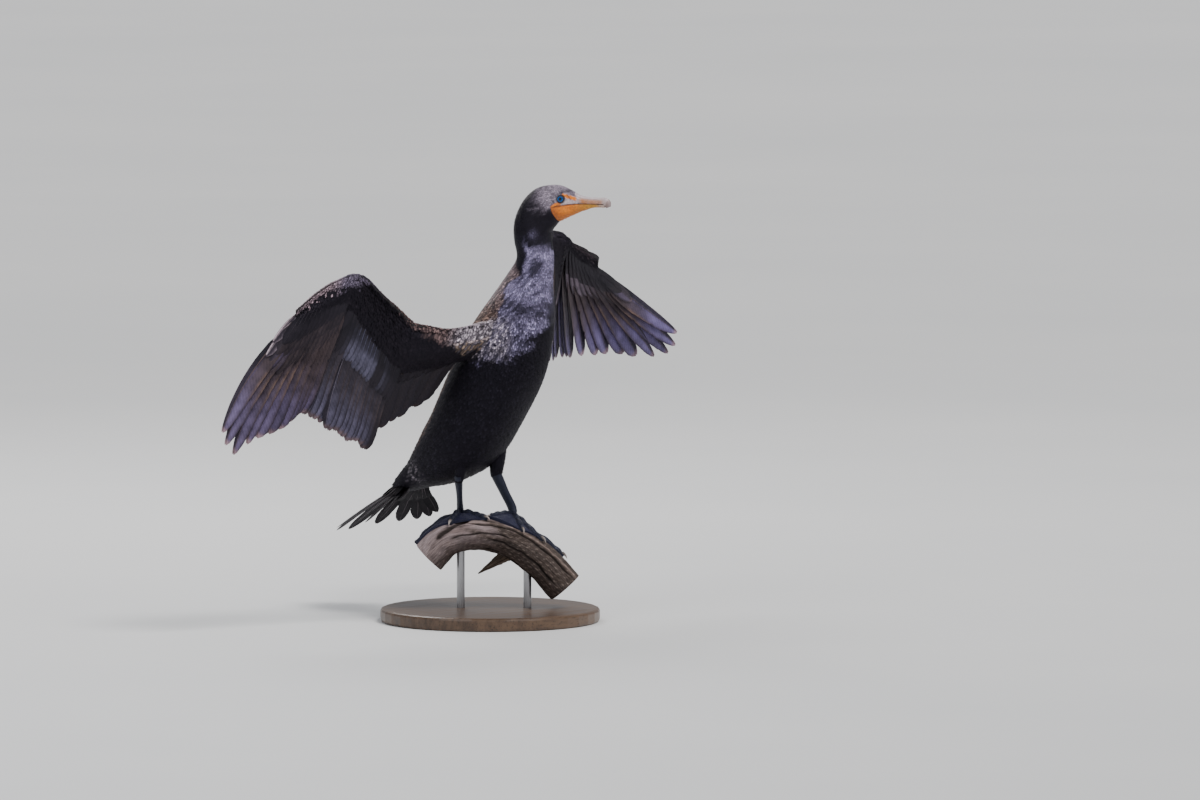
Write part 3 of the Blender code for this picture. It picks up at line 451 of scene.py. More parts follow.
def grid_faces(rows, cols, closed=False, first=0):
    """Quads over a grid of points, joined round if its columns close."""
    last = cols if closed else cols - 1
    i, j = np.meshgrid(np.arange(rows - 1), np.arange(last), indexing="ij")
    k = (j + 1) % cols
    quads = np.stack((i * cols + j, i * cols + k, (i + 1) * cols + k, (i + 1) * cols + j), axis=-1)
    return quads.reshape(-1, 4) + first


def capped(grid):
    """Points and faces of a closed-round grid with a fan over each end."""
    rows, cols = grid.shape[:2]
    points = grid.reshape(-1, 3)
    ends = np.array((grid[0].mean(axis=0), grid[-1].mean(axis=0)))
    j = np.arange(cols)
    k = (j + 1) % cols
    low = np.stack((k, j, np.full(cols, rows * cols)), axis=1)
    high = np.stack((j, k, np.full(cols, rows * cols + 1)), axis=1)
    high[:, :2] += (rows - 1) * cols
    return np.concatenate((points, ends)), [grid_faces(rows, cols, True), low, high]


def pushed(grid, out):
    """A closed-round grid, moved away from its middle line by a measure at each of its points."""
    return grid + unit(grid - grid.mean(axis=1, keepdims=True)) * out[..., None]


def round_piece(name, grid, finish, replaces=(), paint=0.0, end=0.0, grain=None, mottle=None,
                sharp=45):
    """Makes a piece of a closed-round grid, with the same fan, colour and blank maps on both ends."""
    shape = grid.shape[:2]
    verts, faces = capped(grid)
    paint = np.broadcast_to(paint, (*shape, 3)).reshape(-1, 3)
    paint = np.concatenate((paint, np.broadcast_to(end, (2, 3))))
    maps, values = {}, {}
    if grain is not None:
        flat = np.stack([np.broadcast_to(side, shape) for side in grain], axis=-1).reshape(-1, 2)
        maps["Grain"] = np.concatenate((flat, np.zeros((2, 2))))
    if mottle is not None:
        values["mottle"] = np.concatenate((mottle.ravel(), (0, 0)))
    piece(name, verts, faces, finish, replaces, maps, paint, values, sharp)


class Surface:
    """A closed-round surface kept as a grid, which gives points at any row, column and height over it."""

    def __init__(self, points):
        self.points = points
        self.rows, self.cols = points.shape[:2]
        down = np.gradient(points, axis=0)
        around = (np.roll(points, -1, axis=1) - np.roll(points, 1, axis=1)) / 2
        self.normals = unit(np.cross(around, down))
        middle = points.mean(axis=1, keepdims=True)
        if np.sum(self.normals * (points - middle)) < 0:
            self.normals = -self.normals
        self.row_step = np.linalg.norm(down, axis=2)
        self.col_step = np.linalg.norm(around, axis=2)

    def read(self, field, row, col):
        """A field's value between the points of the grid."""
        row = np.clip(row, 0, self.rows - 1.001)
        i = row.astype(int)
        j = np.floor(col).astype(int)
        s, t = row - i, col - j
        if field.ndim == 3:
            s, t = s[..., None], t[..., None]
        j = j % self.cols
        k = (j + 1) % self.cols
        low = field[i, j] * (1 - t) + field[i, k] * t
        high = field[i + 1, j] * (1 - t) + field[i + 1, k] * t
        return low * (1 - s) + high * s

    def at(self, row, col, height=0.0):
        height = np.asarray(height, float)
        return self.read(self.points, row, col) + self.read(self.normals, row, col) * height[..., None]


class Inside:
    """Tells which places lie deep inside a closed mesh."""

    def __init__(self, mesh):
        places = [v.co.copy() for v in mesh.vertices]
        self.tree = BVHTree.FromPolygons(places, [tuple(p.vertices) for p in mesh.polygons])

    def out_of(self, places, margin):
        """Places in millimetres that lie outside, or inside by less than a margin."""
        keep = np.zeros(len(places), bool)
        for i, place in enumerate((np.asarray(places) + (0, 0, BIRD_HEIGHT)) * MM):
            spot = Vector(place)
            near, normal, _, _ = self.tree.find_nearest(spot)
            keep[i] = (spot - near).dot(normal) > -margin * MM
        return keep


# A small feather: rows of left, middle and right points between its root and its tip.
TUFT_ROWS = ((0.28, 0.8), (0.6, 1.0), (0.86, 0.72))
# The size of a small feather's patch on its map, and how deep in the skin it may have its root.
PATCH_SIZE = 0.003
ROOT_DEPTH = 1.5


def tuft_form():
    """A small feather's points (across, along, crown) and faces, closed with a flatter underside."""
    points = [(0.0, 0.0, 0.0)]
    for along, wide in TUFT_ROWS:
        points += [(-0.5 * wide, along, 0.0), (0.0, along + 0.03, 1.0), (0.5 * wide, along, 0.0)]
    points.append((0.0, 1.0, 0.15))
    tip = len(points) - 1
    tris = [(0, 2, 1), (0, 3, 2), (0, 1, 3)]
    for i in range(len(TUFT_ROWS) - 1):
        a = 1 + 3 * i
        b = a + 3
        tris += [(a, a + 1, b + 1), (a, b + 1, b), (a + 1, a + 2, b + 2), (a + 1, b + 2, b + 1)]
        tris += [(a + 2, a, b), (a + 2, b, b + 2)]
    a = tip - 3
    tris += [(a, a + 1, tip), (a + 1, a + 2, tip), (a + 2, a, tip)]
    return np.array(points), np.array(tris)


def coat(name, surface, roots, finish, depth, colours):
    """Lays small feathers over a surface, with their roots at a depth under it.

    Roots has rows of row, column, length, width, heading and lift. The depth is one number, or one to
    each feather, and the colours are those of each feather's middle and edge.
    """
    form, tris = tuft_form()
    row, col, length, width, heading, lift = (roots[:, i, None] for i in range(6))
    along = form[None, :, 1] * length
    across = form[None, :, 0] * width
    row_step = surface.read(surface.row_step, row, col)
    col_step = surface.read(surface.col_step, row, col)
    rows = row + (-along * np.cos(heading) + across * np.sin(heading)) / row_step
    cols = col + (along * np.sin(heading) + across * np.cos(heading)) / col_step
    depth = np.broadcast_to(depth, len(roots))[:, None]
    share = np.clip(form[None, :, 1], 0, 1)
    height = -depth * (1 - share**0.75) + lift * share**2 + form[None, :, 2] * width * 0.07
    verts = surface.at(rows, cols, height)
    count, points = len(roots), len(form)
    faces = (tris[None] + (np.arange(count) * points)[:, None, None]).reshape(-1, 3)
    middle, edge = colours
    blend = np.clip(form[:, 2] + (form[:, 1] < 0.1), 0, 1)[None, :, None]
    paint = middle[:, None, :] * blend + edge[:, None, :] * (1 - blend)
    patch = np.stack((form[:, 0], form[:, 1] - 0.5), axis=1) * PATCH_SIZE
    home = np.concatenate((np.mod(col / surface.cols, 1.0), row / surface.rows), axis=1) * 0.99 + 0.005
    unwrap = home[:, None, :] + patch[None]
    barbs = np.stack((across, along), axis=-1)
    maps = {"OFBake": unwrap.reshape(-1, 2), "Barbs": barbs.reshape(-1, 2)}
    piece(name, verts, [faces], finish, maps=maps, paint=paint.reshape(-1, 3), sharp=60)


def growing_out(surface, roots, inside):
    """Which feathers of a coat have their roots at the outside of the fused skin."""
    return inside.out_of(surface.at(roots[:, 0], roots[:, 1]), ROOT_DEPTH)


# Body. A station is forward, height, pitch in degrees, half depth, half width.

TAIL_END = ((-236, 12, 28, 3.2, 24), (-216, 22, 28, 3.6, 20), (-198, 30, 28, 5, 18), (-181, 39, 28, 12, 24))
TAIL_ROOT = (-163, 48.5, 29, 18.5, 29)
TORSO = (
    (-146, 58, 31, 24, 31),
    (-114, 76, 33, 38, 44),
    (-81, 98, 39, 51, 54),
    (-48, 124, 50, 60, 61),
    (-12, 175, 58, 64, 65),
    (27, 237, 58, 66, 66),
    (54, 287, 62, 55, 62),
    (74, 329, 65, 45, 47),
)
NECK = (
    (74, 329, 65, 45, 47),
    (86.5, 364, 74, 35.5, 33),
    (96, 394, 88, 28, 27),
    (92, 421, 94, 28, 27),
    (91.3, 436, 90, 29, 27),
)
HEAD = (
    (91.3, 436, 90, 29, 27),
    (94, 447, 79, 30.5, 26.5),
    (98.5, 457, 66, 31, 25),
    (106, 468, 53, 31.2, 22.8),
    (117, 476.5, 38, 30.6, 20.5),
    (130, 480.5, 27.5, 28, 18),
    (142.5, 482.3, 20, 24.6, 15),
    (153.5, 482.0, 19, 19.6, 12),
    (162.5, 480.9, 18, 15, 9.6),
    (170, 479.4, 14, 11.4, 8.2),
    (184, 480.2, 5, 7.9, 6.2),
    (196, 480.5, 0, 7.6, 5.2),
    (202.5, 480.2, -10, 7.8, 4.9),
    (207, 478.2, -38, 6.4, 4.1),
    (208.7, 473.6, -68, 3.4, 2.1),
)
HEAD_TURN = math.radians(30)
NECK_AXIS_FORWARD = 91
SECTION_ROWS = {"tail": 40, "torso": 120, "neck": 50, "head": 190}
HEAD_FIRST_ROW = SECTION_ROWS["tail"] + SECTION_ROWS["torso"] + SECTION_ROWS["neck"]
BODY_COLS = 128
# The rows where the throat pouch and the horn of the bill begin, and where the skin and its coat do.
THROAT_ROW = HEAD_FIRST_ROW + 8
BILL_ROOT_ROW = HEAD_FIRST_ROW + 110
SKIN_FIRST_ROW = 26
COAT_FIRST_ROW = 27.0

# Landmarks on the side of the head: forward and height.
EYE = (138.2, 485.8)
MOUTH = (
    (103, 470.5),
    (117, 471.5),
    (124, 473.5),
    (145, 477.0),
    (159, 478.6),
    (201.5, 478.2),
    (204, 474.5),
    (206.5, 470),
)
THROAT_EDGE = ((123.5, 478), (124, 473.5), (126.5, 465), (133, 452.5), (139, 443), (147, 430))
FACE_TOP = (
    (123, 474),
    (127, 477.6),
    (132, 480.4),
    (136, 482),
    (139, 491),
    (142, 495),
    (150, 492.6),
    (160, 489.4),
)
# The face is bare above the first height and ahead of this place, and painted above the second height.
FACE_LOW = 430
FACE_REAR = 112
FACE_PAINT_LOW = 445
FACE_PINK = np.array((0.56, 0.45, 0.48))
STRIPE_ORANGE = (0.86, 0.22, 0.006)
CHEEK_ORANGE = (0.8, 0.2, 0.006)
THROAT_ORANGE = (0.8, 0.19, 0.005)


def turned(forward, across, height, turn):
    """Places on the bird, with the head's turn about the neck's upright axis."""
    reach = forward - NECK_AXIS_FORWARD
    x = across * np.cos(turn) + reach * np.sin(turn)
    y = across * np.sin(turn) - reach * np.cos(turn) - NECK_AXIS_FORWARD
    return np.stack(np.broadcast_arrays(x, y, height), axis=-1)


def neck_turn(height):
    """How far the neck has turned at a height, from none at its root to the head's whole turn."""
    low, high = NECK[1][1], NECK[-1][1]
    share = np.clip((height - low) / (high - low), 0, 1)
    return HEAD_TURN * share * share * (3 - 2 * share)


def smooth_rows(table, width):
    """Evens out a table of stations along its length."""
    kernel = np.hanning(width + 2)[1:-1]
    kernel /= kernel.sum()
    padded = np.pad(table, ((width // 2, width // 2), (0, 0)), mode="reflect", reflect_type="odd")
    return np.stack([np.convolve(padded[:, i], kernel, mode="valid") for i in range(table.shape[1])], axis=1)


class Body(Surface):
    """The bird from tail root to bill tip, with each point's place on the unturned bird."""

    def __init__(self):
        tail = through((*TAIL_END, TAIL_ROOT, TORSO[0]), SECTION_ROWS["tail"] + 1)[:-1]
        torso = through(TORSO, SECTION_ROWS["torso"] + 1)[:-1]
        neck = through(NECK, SECTION_ROWS["neck"] + 1)[:-1]
        head = through(HEAD, SECTION_ROWS["head"])
        table = smooth_rows(np.concatenate((tail, torso, neck, head)), 7)
        self.stations = table
        forward, height, pitch, deep, wide = (table[:, i, None] for i in range(5))
        pitch = np.radians(pitch)
        angle = full_turn(BODY_COLS)[None]
        c, s = np.cos(angle), np.sin(angle)
        power = 2 / 2.12
        up = deep * np.sign(c) * np.abs(c) ** power
        self.forward = forward - up * np.sin(pitch)
        self.height = height + up * np.cos(pitch)
        self.across = wide * np.sign(s) * np.abs(s) ** power + 0 * self.forward
        self.turn = neck_turn(height) * np.ones_like(self.forward)
        self.shape_face()
        super().__init__(turned(self.forward, self.across, self.height, self.turn))
        steps = np.linalg.norm(np.diff(table[:, :2], axis=0), axis=1)
        first = SECTION_ROWS["tail"]
        reach = np.concatenate(((0,), np.cumsum(steps)))
        self.reach = reach - reach[first]

    def shape_face(self):
        """Sinks the sockets before and round the eyes, and raises a brow over them."""
        near_eye = np.hypot((self.forward - EYE[0]) / 8.5, (self.height - EYE[1]) / 7.5)
        side = np.sign(self.across)
        side_on = np.clip(np.abs(self.across) / 6, 0, 1) * (self.stations[:, 0, None] > 110)
        socket = 1.1 * np.exp(-(near_eye**2) * 1.2)
        ahead = self.forward - EYE[0]
        brow = 0.9 * hump(self.height - EYE[1] + 0.12 * ahead, 7.5, 2.6) * hump(ahead, 5, 15)
        lores = 0.9 * hump(self.forward, 152, 8) * hump(self.height, 483, 4)
        self.across = self.across + side * side_on * (brow - socket - lores)


def side_of(line, forward, height):
    """How far ahead of a line a place on the head is, for lines listed from the top down."""
    line = np.array(line, float)
    order = np.argsort(line[:, 1])
    return forward - np.interp(height, line[order, 1], line[order, 0])


def mouth_height(forward):
    """The height of the mouth line."""
    return listed(MOUTH, forward)


def stripe_height(forward):
    """The middle of the bright stripe that runs from over the eye to the bill."""
    return 491.6 - (forward - 141) * 0.3


def bare(forward, height):
    """From 1 on the bare skin of the face to 0 on feathers, for skin above and below the mouth."""
    over_mouth = height - mouth_height(forward)
    below = np.clip(side_of(THROAT_EDGE, forward, height) / 1.5 + 0.5, 0, 1) * (over_mouth < 1)
    above = np.clip((listed(FACE_TOP, forward) - height) / 1.2 + 0.5, 0, 1)
    above = above * (forward > FACE_TOP[0][0]) * (over_mouth >= 1)
    eye = np.clip((7.0 - np.hypot(forward - EYE[0], height - EYE[1])) / 1.2, 0, 1)
    return np.maximum(np.maximum(below, above), eye) * (height > FACE_LOW) * (forward > FACE_REAR)


def face_paint(forward, height):
    """Colours of the bare face: a bright stripe, a pale band over the mouth, an orange gape and throat."""
    wander = ripple(forward / 6, height / 6, 11)
    specks = ripple(forward / 1.7, height / 1.7, 12)
    paint = np.zeros((*np.shape(forward), 3)) + FACE_PINK
    paint = over(paint, (0.2, 0.07, 0.06), 0.45 * np.clip(specks - 0.1, 0, 1))
    from_stripe = height - stripe_height(forward)
    off = np.abs(from_stripe)
    stripe = (3.1 - off + 0.5 * wander) * (forward > 138)
    fading = 1 - rising(forward + wander, 158, 164)
    paint = over(paint, STRIPE_ORANGE, np.clip(stripe, 0, 1) * fading)
    gap = hump(forward + 0.8 * from_stripe, 150, 1.6) * (off < 3.4)
    paint = over(paint, (0.2, 0.04, 0.02), gap * 0.75)
    paint = over(paint, (0.05, 0.02, 0.03), (from_stripe - 3.0) / 1.2)
    cheek = np.clip((139.5 - forward) / 2.5 + 0.3 * wander, 0, 1) * np.clip((481.5 - height) / 1.5, 0, 1)
    paint = over(paint, CHEEK_ORANGE, cheek)
    below = np.clip((mouth_height(forward) - height) / 0.8, 0, 1)
    paint = over(paint, THROAT_ORANGE, below)
    mouth = (0.95 - np.abs(height - mouth_height(forward))) * 1.6 * (forward > 129)
    paint = over(paint, (0.025, 0.01, 0.01), mouth)
    away = np.hypot(forward - EYE[0], height - EYE[1])
    return over(paint, (0.02, 0.011, 0.018), (7.1 - away) / 0.9)


# The coat's depth at a distance along the body, and its feathers' length there.
COAT_DEPTH = ((-60, 1.6), (0, 3.2), (120, 3.8), (320, 3.6), (400, 2.4), (465, 1.5), (520, 0.9), (570, 0.7))
FEATHER_LENGTH = (
    (-60, 20),
    (0, 14.5),
    (80, 12),
    (200, 11),
    (260, 9.4),
    (320, 7.8),
    (370, 6.3),
    (430, 4.9),
    (475, 4.0),
    (530, 3.0),
    (570, 2.3),
)
# How far the coat's roots lie under the skin of the body, and the coat's depth on wings and thighs.
ROOTS_UNDER_SKIN = 0.3
WING_COAT_DEPTH = 2.6
THIGH_COAT_DEPTH = 2.0
# How far the skin lies inside the plain forms of wings and thighs, and of the throat behind its pouch.
WING_SKIN_SINK = 2.4
THIGH_SKIN_SINK = 2.0
THROAT_SKIN_SINK = 1.3
# Places farther out than these, across the body and from the bird's middle, are wing.
BODY_ACROSS = 70
BODY_SIDE = 110


def fused(forms):
    """One object made of closed-round grids by their union. The first gives it its name."""
    made = []
    for i, form in enumerate(forms):
        verts, faces = capped(form)
        places = (verts + (0, 0, BIRD_HEIGHT)) * MM
        mesh = bpy.data.meshes.new("skin" if i == 0 else f"skin_part_{i}")
        mesh.from_pydata(places, [], [tuple(f) for block in outward(verts, faces) for f in block.tolist()])
        made.append(bpy.data.objects.new(mesh.name, mesh))
    skin, parts = made[0], made[1:]
    box = bpy.data.collections.new("skin_parts")
    bpy.context.scene.collection.children.link(box)
    bpy.context.scene.collection.objects.link(skin)
    for part in parts:
        box.objects.link(part)
    union = skin.modifiers.new("union", "BOOLEAN")
    union.operation = "UNION"
    union.operand_type = "COLLECTION"
    union.collection = box
    union.solver = "MANIFOLD"
    bpy.context.view_layer.update()
    mesh = bpy.data.meshes.new_from_object(skin.evaluated_get(bpy.context.evaluated_depsgraph_get()))
    skin.modifiers.clear()
    skin.data = mesh
    for part in parts:
        bpy.data.objects.remove(part)
    bpy.data.collections.remove(box)
    return skin


def make_skin(body, wings, thighs, finish):
    """One skin under the whole coat: body, wing flesh and thighs fused together."""
    forward, height = body.forward, body.height
    depth = listed(COAT_DEPTH, body.reach)[:, None] * (1 - bare(forward, height))
    pouch = np.clip((side_of(THROAT_EDGE, forward, height) - 1.2) / 1.5, 0, 1)
    pouch = pouch * np.clip(mouth_height(forward) - height - 0.8, 0, 1) * (forward > FACE_REAR)
    depth = depth + THROAT_SKIN_SINK * pouch * (height > FACE_LOW)
    forms = [(body.points - body.normals * depth[..., None])[SKIN_FIRST_ROW:BILL_ROOT_ROW]]
    forms += [wing.points - wing.normals * WING_SKIN_SINK for wing in wings]
    forms += [thigh.points - thigh.normals * THIGH_SKIN_SINK for thigh in thighs]
    skin = fused(forms)
    mesh = skin.data
    paint_skin(skin)
    mesh.materials.clear()
    mesh.materials.append(finish)
    mesh.shade_smooth()
    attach(skin, "root")
    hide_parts("head", "neck_upper", "neck_lower", "torso", "thigh_left", "thigh_right")
    return Inside(mesh)


def paint_skin(skin):
    """Paints the fused skin: black under the coat and the face's own colours where it is bare."""
    mesh = skin.data
    count = len(mesh.vertices)
    places = np.empty(count * 3)
    mesh.vertices.foreach_get("co", places)
    places = places.reshape(-1, 3) / MM - (0, 0, BIRD_HEIGHT)
    x, y, height = places[:, 0], places[:, 1] + NECK_AXIS_FORWARD, places[:, 2]
    turn = neck_turn(height)
    forward = x * np.sin(turn) - y * np.cos(turn) + NECK_AXIS_FORWARD
    across = x * np.cos(turn) + y * np.sin(turn)
    on_body = (np.abs(across) < BODY_ACROSS) & (np.abs(x) < BODY_SIDE)
    middle, edge = plumage_colours(forward, across, height)
    paint = np.where(on_body[:, None], middle * 0.4 + edge * 0.3, BLACK_EDGE)
    face = (bare(forward, height) * (height > FACE_PAINT_LOW))[:, None]
    paint = paint * (1 - face) + face_paint(forward, height) * face
    layer = mesh.attributes.new("paint", "FLOAT_COLOR", "POINT")
    layer.data.foreach_set("color", np.concatenate((paint, np.ones((count, 1))), axis=1).ravel())


# How far back the sheen reaches, by height: 0 is the middle line of neck and body, and 1 the outline.
SHEEN_REAR = (
    (250, 0.0),
    (302, -0.06),
    (318, -0.12),
    (337, 0.08),
    (356, 0.32),
    (368, 0.15),
    (377, -0.25),
    (387, -0.09),
    (399, 0.04),
    (412, 0.18),
    (424, 0.3),
)
BLACK = np.array((0.0065, 0.0055, 0.0085))
BLACK_EDGE = np.array((0.004, 0.0035, 0.005))
BRONZE = np.array((0.27, 0.17, 0.125))
# The colour of painted sheen on neck and breast.
SHEEN_LAVENDER = np.array((0.41, 0.36, 0.6))
SHOULDER_GREY = np.array((0.66, 0.57, 0.65))
# The crown's grey: dark lilac feathers lightened by painted sheen.
CROWN_GREY = np.array((0.42, 0.355, 0.44))


def sheen_light(across, height, back, limit, wave, fine):
    """How bright the painted sheen is: painted highlights glow round the neck and along its rear edge,
    and it is dim in a bib in front, in a band over the breast and, by painted shade, on the bird's
    left side."""
    bib = 0.95 * hump(height, 387, 13) * hump(back, -0.68, 0.22)
    band = 0.5 * hump(height - 5 * back, 330, 10)
    # Painted highlights: a streak before the sheen's rear edge, a band across the neck, a strip down its
    # front and bands over the breast.
    glow = 1.5 * hump(height, 396, 17) * hump(back - limit, -0.2, 0.13)
    glow = glow + 0.9 * hump(height, 407, 5) * (back < limit - 0.1)
    glow = glow + hump(height, 388, 16) * hump(back, -0.98, 0.1)
    glow = glow + 0.7 * hump(height, 352, 13) + 0.5 * hump(height, 296, 14)
    # Painted shade on the bird's left side, up to the lower neck.
    shade = 0.5 * rising(across, 2, 20) + 0.35 * rising(across, 10, 26)
    shade = shade * (1 - rising(height, 350, 378))
    level = np.clip(0.62 + 0.2 * wave + 0.3 * fine + 0.52 * glow - bib - band - shade, 0.04, 1.7)
    return level * (0.6 + 0.4 * rising(height, 275, 345))


def crown_share(forward, height, wave, fine):
    """Where the head is grey, partly painted sheen: over its crown, but less round the eye and over the
    brow.
    """
    crown = rising(forward + 3 * wave + 2 * fine, 88, 126) * rising(height + 3 * wave + 2 * fine, 464, 479)
    around_eye = np.hypot(forward - EYE[0], height - EYE[1])
    crown = crown * (1 - 0.6 * hump(around_eye, 9, 2.2) * np.clip(0.6 + fine, 0, 1))
    return crown * (1 - 0.7 * hump(forward, 149, 8) * hump(height, 496.5, 2.6))


def plumage_colours(forward, across, height):
    """Middle and edge colours by place on the unturned bird: a lavender painted sheen on breast and neck, a
    bronze, black-edged mantle, a grey crown partly lightened by painted sheen, and black everywhere else."""
    turn = np.where(across > 0, 1.0, -1.0)
    wave = ripple(forward / 34, height / 34 + turn, 13)
    fine = ripple(forward / 9, height / 9 + turn, 14)
    # How far a place lies behind the middle line of neck and body, which leans forward as it rises.
    table = np.array(TORSO + NECK[1:] + HEAD[1:5], float)
    behind = np.interp(height, table[:, 1], table[:, 0]) - forward
    half = np.interp(height, table[:, 1], table[:, 3])
    back = behind / half
    limit = listed(SHEEN_REAR, height) + 0.08 * wave
    # The sheen's lower edge rises towards the bird's left side, where painted shade takes its place.
    low_edge = 248 + 72 * rising(across, -42, 42)
    sheen = rising(height + 8 * wave + 4 * fine, low_edge - 8, low_edge + 26)
    sheen = sheen * (1 - rising(height + 5 * wave + 3 * fine, 416 + 8 * back, 430 + 8 * back))
    sheen = sheen * (1 - rising(back, limit - 0.1, limit + 0.12))
    level = sheen_light(across, height, back, limit, wave, fine)
    # A faint patch of painted sheen high on the neck.
    patch = 0.35 * hump(height, 436, 6) * hump(back, -0.27, 0.22)
    shoulder = rising(height, 244, 268) * (1 - rising(height, 296, 322)) * rising(np.abs(across), 38, 54)
    shoulder = shoulder * (1 - rising(back, 0.0, 0.3))
    low_mantle = rising(back, 0.6, 0.85) * rising(height, 75, 140) * 0.5
    ends = 380 + 20 * np.clip(back, -0.3, 1.0)
    high_mantle = rising(back, limit - 0.06, limit + 0.1) * rising(height, 250, 285)
    mantle = np.maximum(low_mantle, high_mantle) * (1 - rising(height + 2 * fine, ends - 6, ends + 4))
    crown = crown_share(forward, height, wave, fine)
    streak = 0.4 * hump(height - 0.08 * (forward - 105), 473, 1.9)
    streak = streak * rising(forward + 4 * fine, 84, 96) * (1 - rising(forward, 112, 121))
    rump = hump(forward, -120, 15) * hump(height, 66, 16) * np.clip(fine + 0.3, 0, 1)
    pink = over(np.zeros((len(height), 3)) + BRONZE, (0.42, 0.3, 0.31), 0.85 * rising(height, 300, 362))
    grit = ripple(forward / 1.1, height / 1.1 + turn, 15)
    pink = pink * np.clip(0.85 + 0.4 * fine + 0.65 * grit, 0.25, 1.7)[:, None]
    middle = np.zeros((len(height), 3)) + BLACK
    middle = middle * (1 - mantle[:, None]) + pink * mantle[:, None]
    middle = middle * (1 - sheen[:, None]) + SHEEN_LAVENDER * (sheen * level)[:, None]
    middle = over(middle, SHEEN_LAVENDER, patch)
    middle = over(middle, SHOULDER_GREY, 0.85 * shoulder * np.clip(0.7 + 0.5 * fine, 0, 1))
    middle = over(middle, CROWN_GREY, np.maximum(crown, streak))
    middle = over(middle, SHOULDER_GREY * 0.7, 0.7 * rump)
    edge = np.zeros_like(middle) + BLACK_EDGE
    edge = over(edge, CROWN_GREY * 0.3, crown)
    edge = over(edge, SHEEN_LAVENDER * 0.14, sheen)
    return middle, edge


# A small feather's width as a share of its length, on wings and thighs and on the body. On the body, each
# row lies a share of the length from the next one, and each feather a share of the width.
FEATHER_WIDTH = 0.66
BODY_FEATHER_WIDTH = 0.64
BODY_ROW_STEP = 0.4
BODY_SPACING = 0.6


def body_roots(body, rng):
    """Where each feather of the body grows, in staggered rows from the tail to the bill."""
    found = []
    row, i = COAT_FIRST_ROW, 0
    while row < BILL_ROOT_ROW - 1:
        reach = float(np.interp(row, np.arange(body.rows), body.reach))
        length = listed(FEATHER_LENGTH, reach)
        width = length * BODY_FEATHER_WIDTH
        step = length * BODY_ROW_STEP / body.row_step[int(row)].mean()
        ring = body.read(body.col_step, np.full(body.cols, row), np.arange(body.cols, dtype=float))
        count = max(8, int(ring.sum() / (width * BODY_SPACING)))
        places = (np.arange(count) + 0.5 * (i % 2) + rng.uniform(-0.22, 0.22, count)) / count
        around = np.concatenate(((0,), np.cumsum(ring)))
        cols = np.interp(places % 1.0, around / around[-1], np.arange(body.cols + 1))
        block = np.empty((count, 6))
        block[:, 0] = row + rng.uniform(-0.2, 0.2, count) * step
        block[:, 1] = cols
        block[:, 2] = length * rng.uniform(0.9, 1.15, count)
        block[:, 3] = width * rng.uniform(0.92, 1.1, count)
        block[:, 4] = rng.normal(0, 0.09, count)
        block[:, 5] = rng.uniform(0.01, 0.07, count) * length
        found.append(block)
        row += step
        i += 1
    return np.concatenate(found)


# The distances along the body where the coats of torso, neck and head meet.
COAT_BORDERS = (345, 468)


def make_body_coat(body, inside, finishes):
    """The body's small feathers, but none on bare skin or where a wing or a thigh covers their roots."""
    rng = np.random.default_rng(5)
    roots = body_roots(body, rng)
    forward = body.read(body.forward, roots[:, 0], roots[:, 1])
    height = body.read(body.height, roots[:, 0], roots[:, 1])
    across = body.read(body.across, roots[:, 0], roots[:, 1])
    keep = (bare(forward, height) < 0.4) & growing_out(body, roots, inside)
    roots, forward, height, across = roots[keep], forward[keep], height[keep], across[keep]
    reach = np.interp(roots[:, 0], np.arange(body.rows), body.reach)
    middle, edge = plumage_colours(forward, across, height)
    spread = 0.36 + 0.3 * (1 - rising(height, 285, 350))
    middle = middle * np.exp(rng.normal(0, 1, len(roots)) * spread - 0.5 * spread**2).clip(0, 2.2)[:, None]
    depth = listed(COAT_DEPTH, reach) + ROOTS_UNDER_SKIN
    low, high = COAT_BORDERS
    parts = {
        "torso": (reach < low, finishes["body"]),
        "neck": ((reach >= low) & (reach < high), finishes["neck"]),
        "head": (reach >= high, finishes["head"]),
    }
    for name, (chosen, finish) in parts.items():
        coat(f"coat_{name}", body, roots[chosen], finish, depth[chosen], (middle[chosen], edge[chosen]))


# Wings. Places are given for the left side: across, back, height. The right wing mirrors its own.
# Full edge and ruff fill the leading edge out, forward and off its upper side, by share of the way out.
# The other keys are the bend of inner and outer primaries, how far the alula reaches out, the number of
# pale feathers on the hand's edge, and how pale the flecks on the small feathers are.

WING_LEFT = {
    "shoulder": (50, -50, 285),
    "elbow": (146, 34, 275),
    "wrist": (215, 62, 398),
    "hand": (300, 67, 348),
    "primary_tips": (
        (285, 113, 221),
        (358, 109, 220),
        (440, 90, 212),
        (468, 87, 216),
        (476, 82, 227),
        (474, 73, 246),
    ),
    "secondary_tips": ((262, 118, 219), (205, 115, 204), (150, 100, 178)),
    "tertial_tips": ((138, 96, 172), (78, 66, 182)),
    "full_edge": (
        (0, 0),
        (0.42, 2),
        (0.54, 12),
        (0.6, 12),
        (0.63, 8),
        (0.65, 2),
        (0.71, 0),
        (0.74, 2.4),
        (0.8, 2),
        (0.85, 7.5),
        (0.9, 13),
        (0.955, 18),
        (1, 8),
    ),
    "ruff": ((0, 0), (0.45, 5), (0.52, 12), (0.58, 15), (0.63, 15), (0.66, 8), (0.7, 0), (1, 0)),
    "primary_curve": (0.03, 0.0),
    "alula_out": -7,
    "edge_feathers": 0,
    "flecks": 0.12,
}
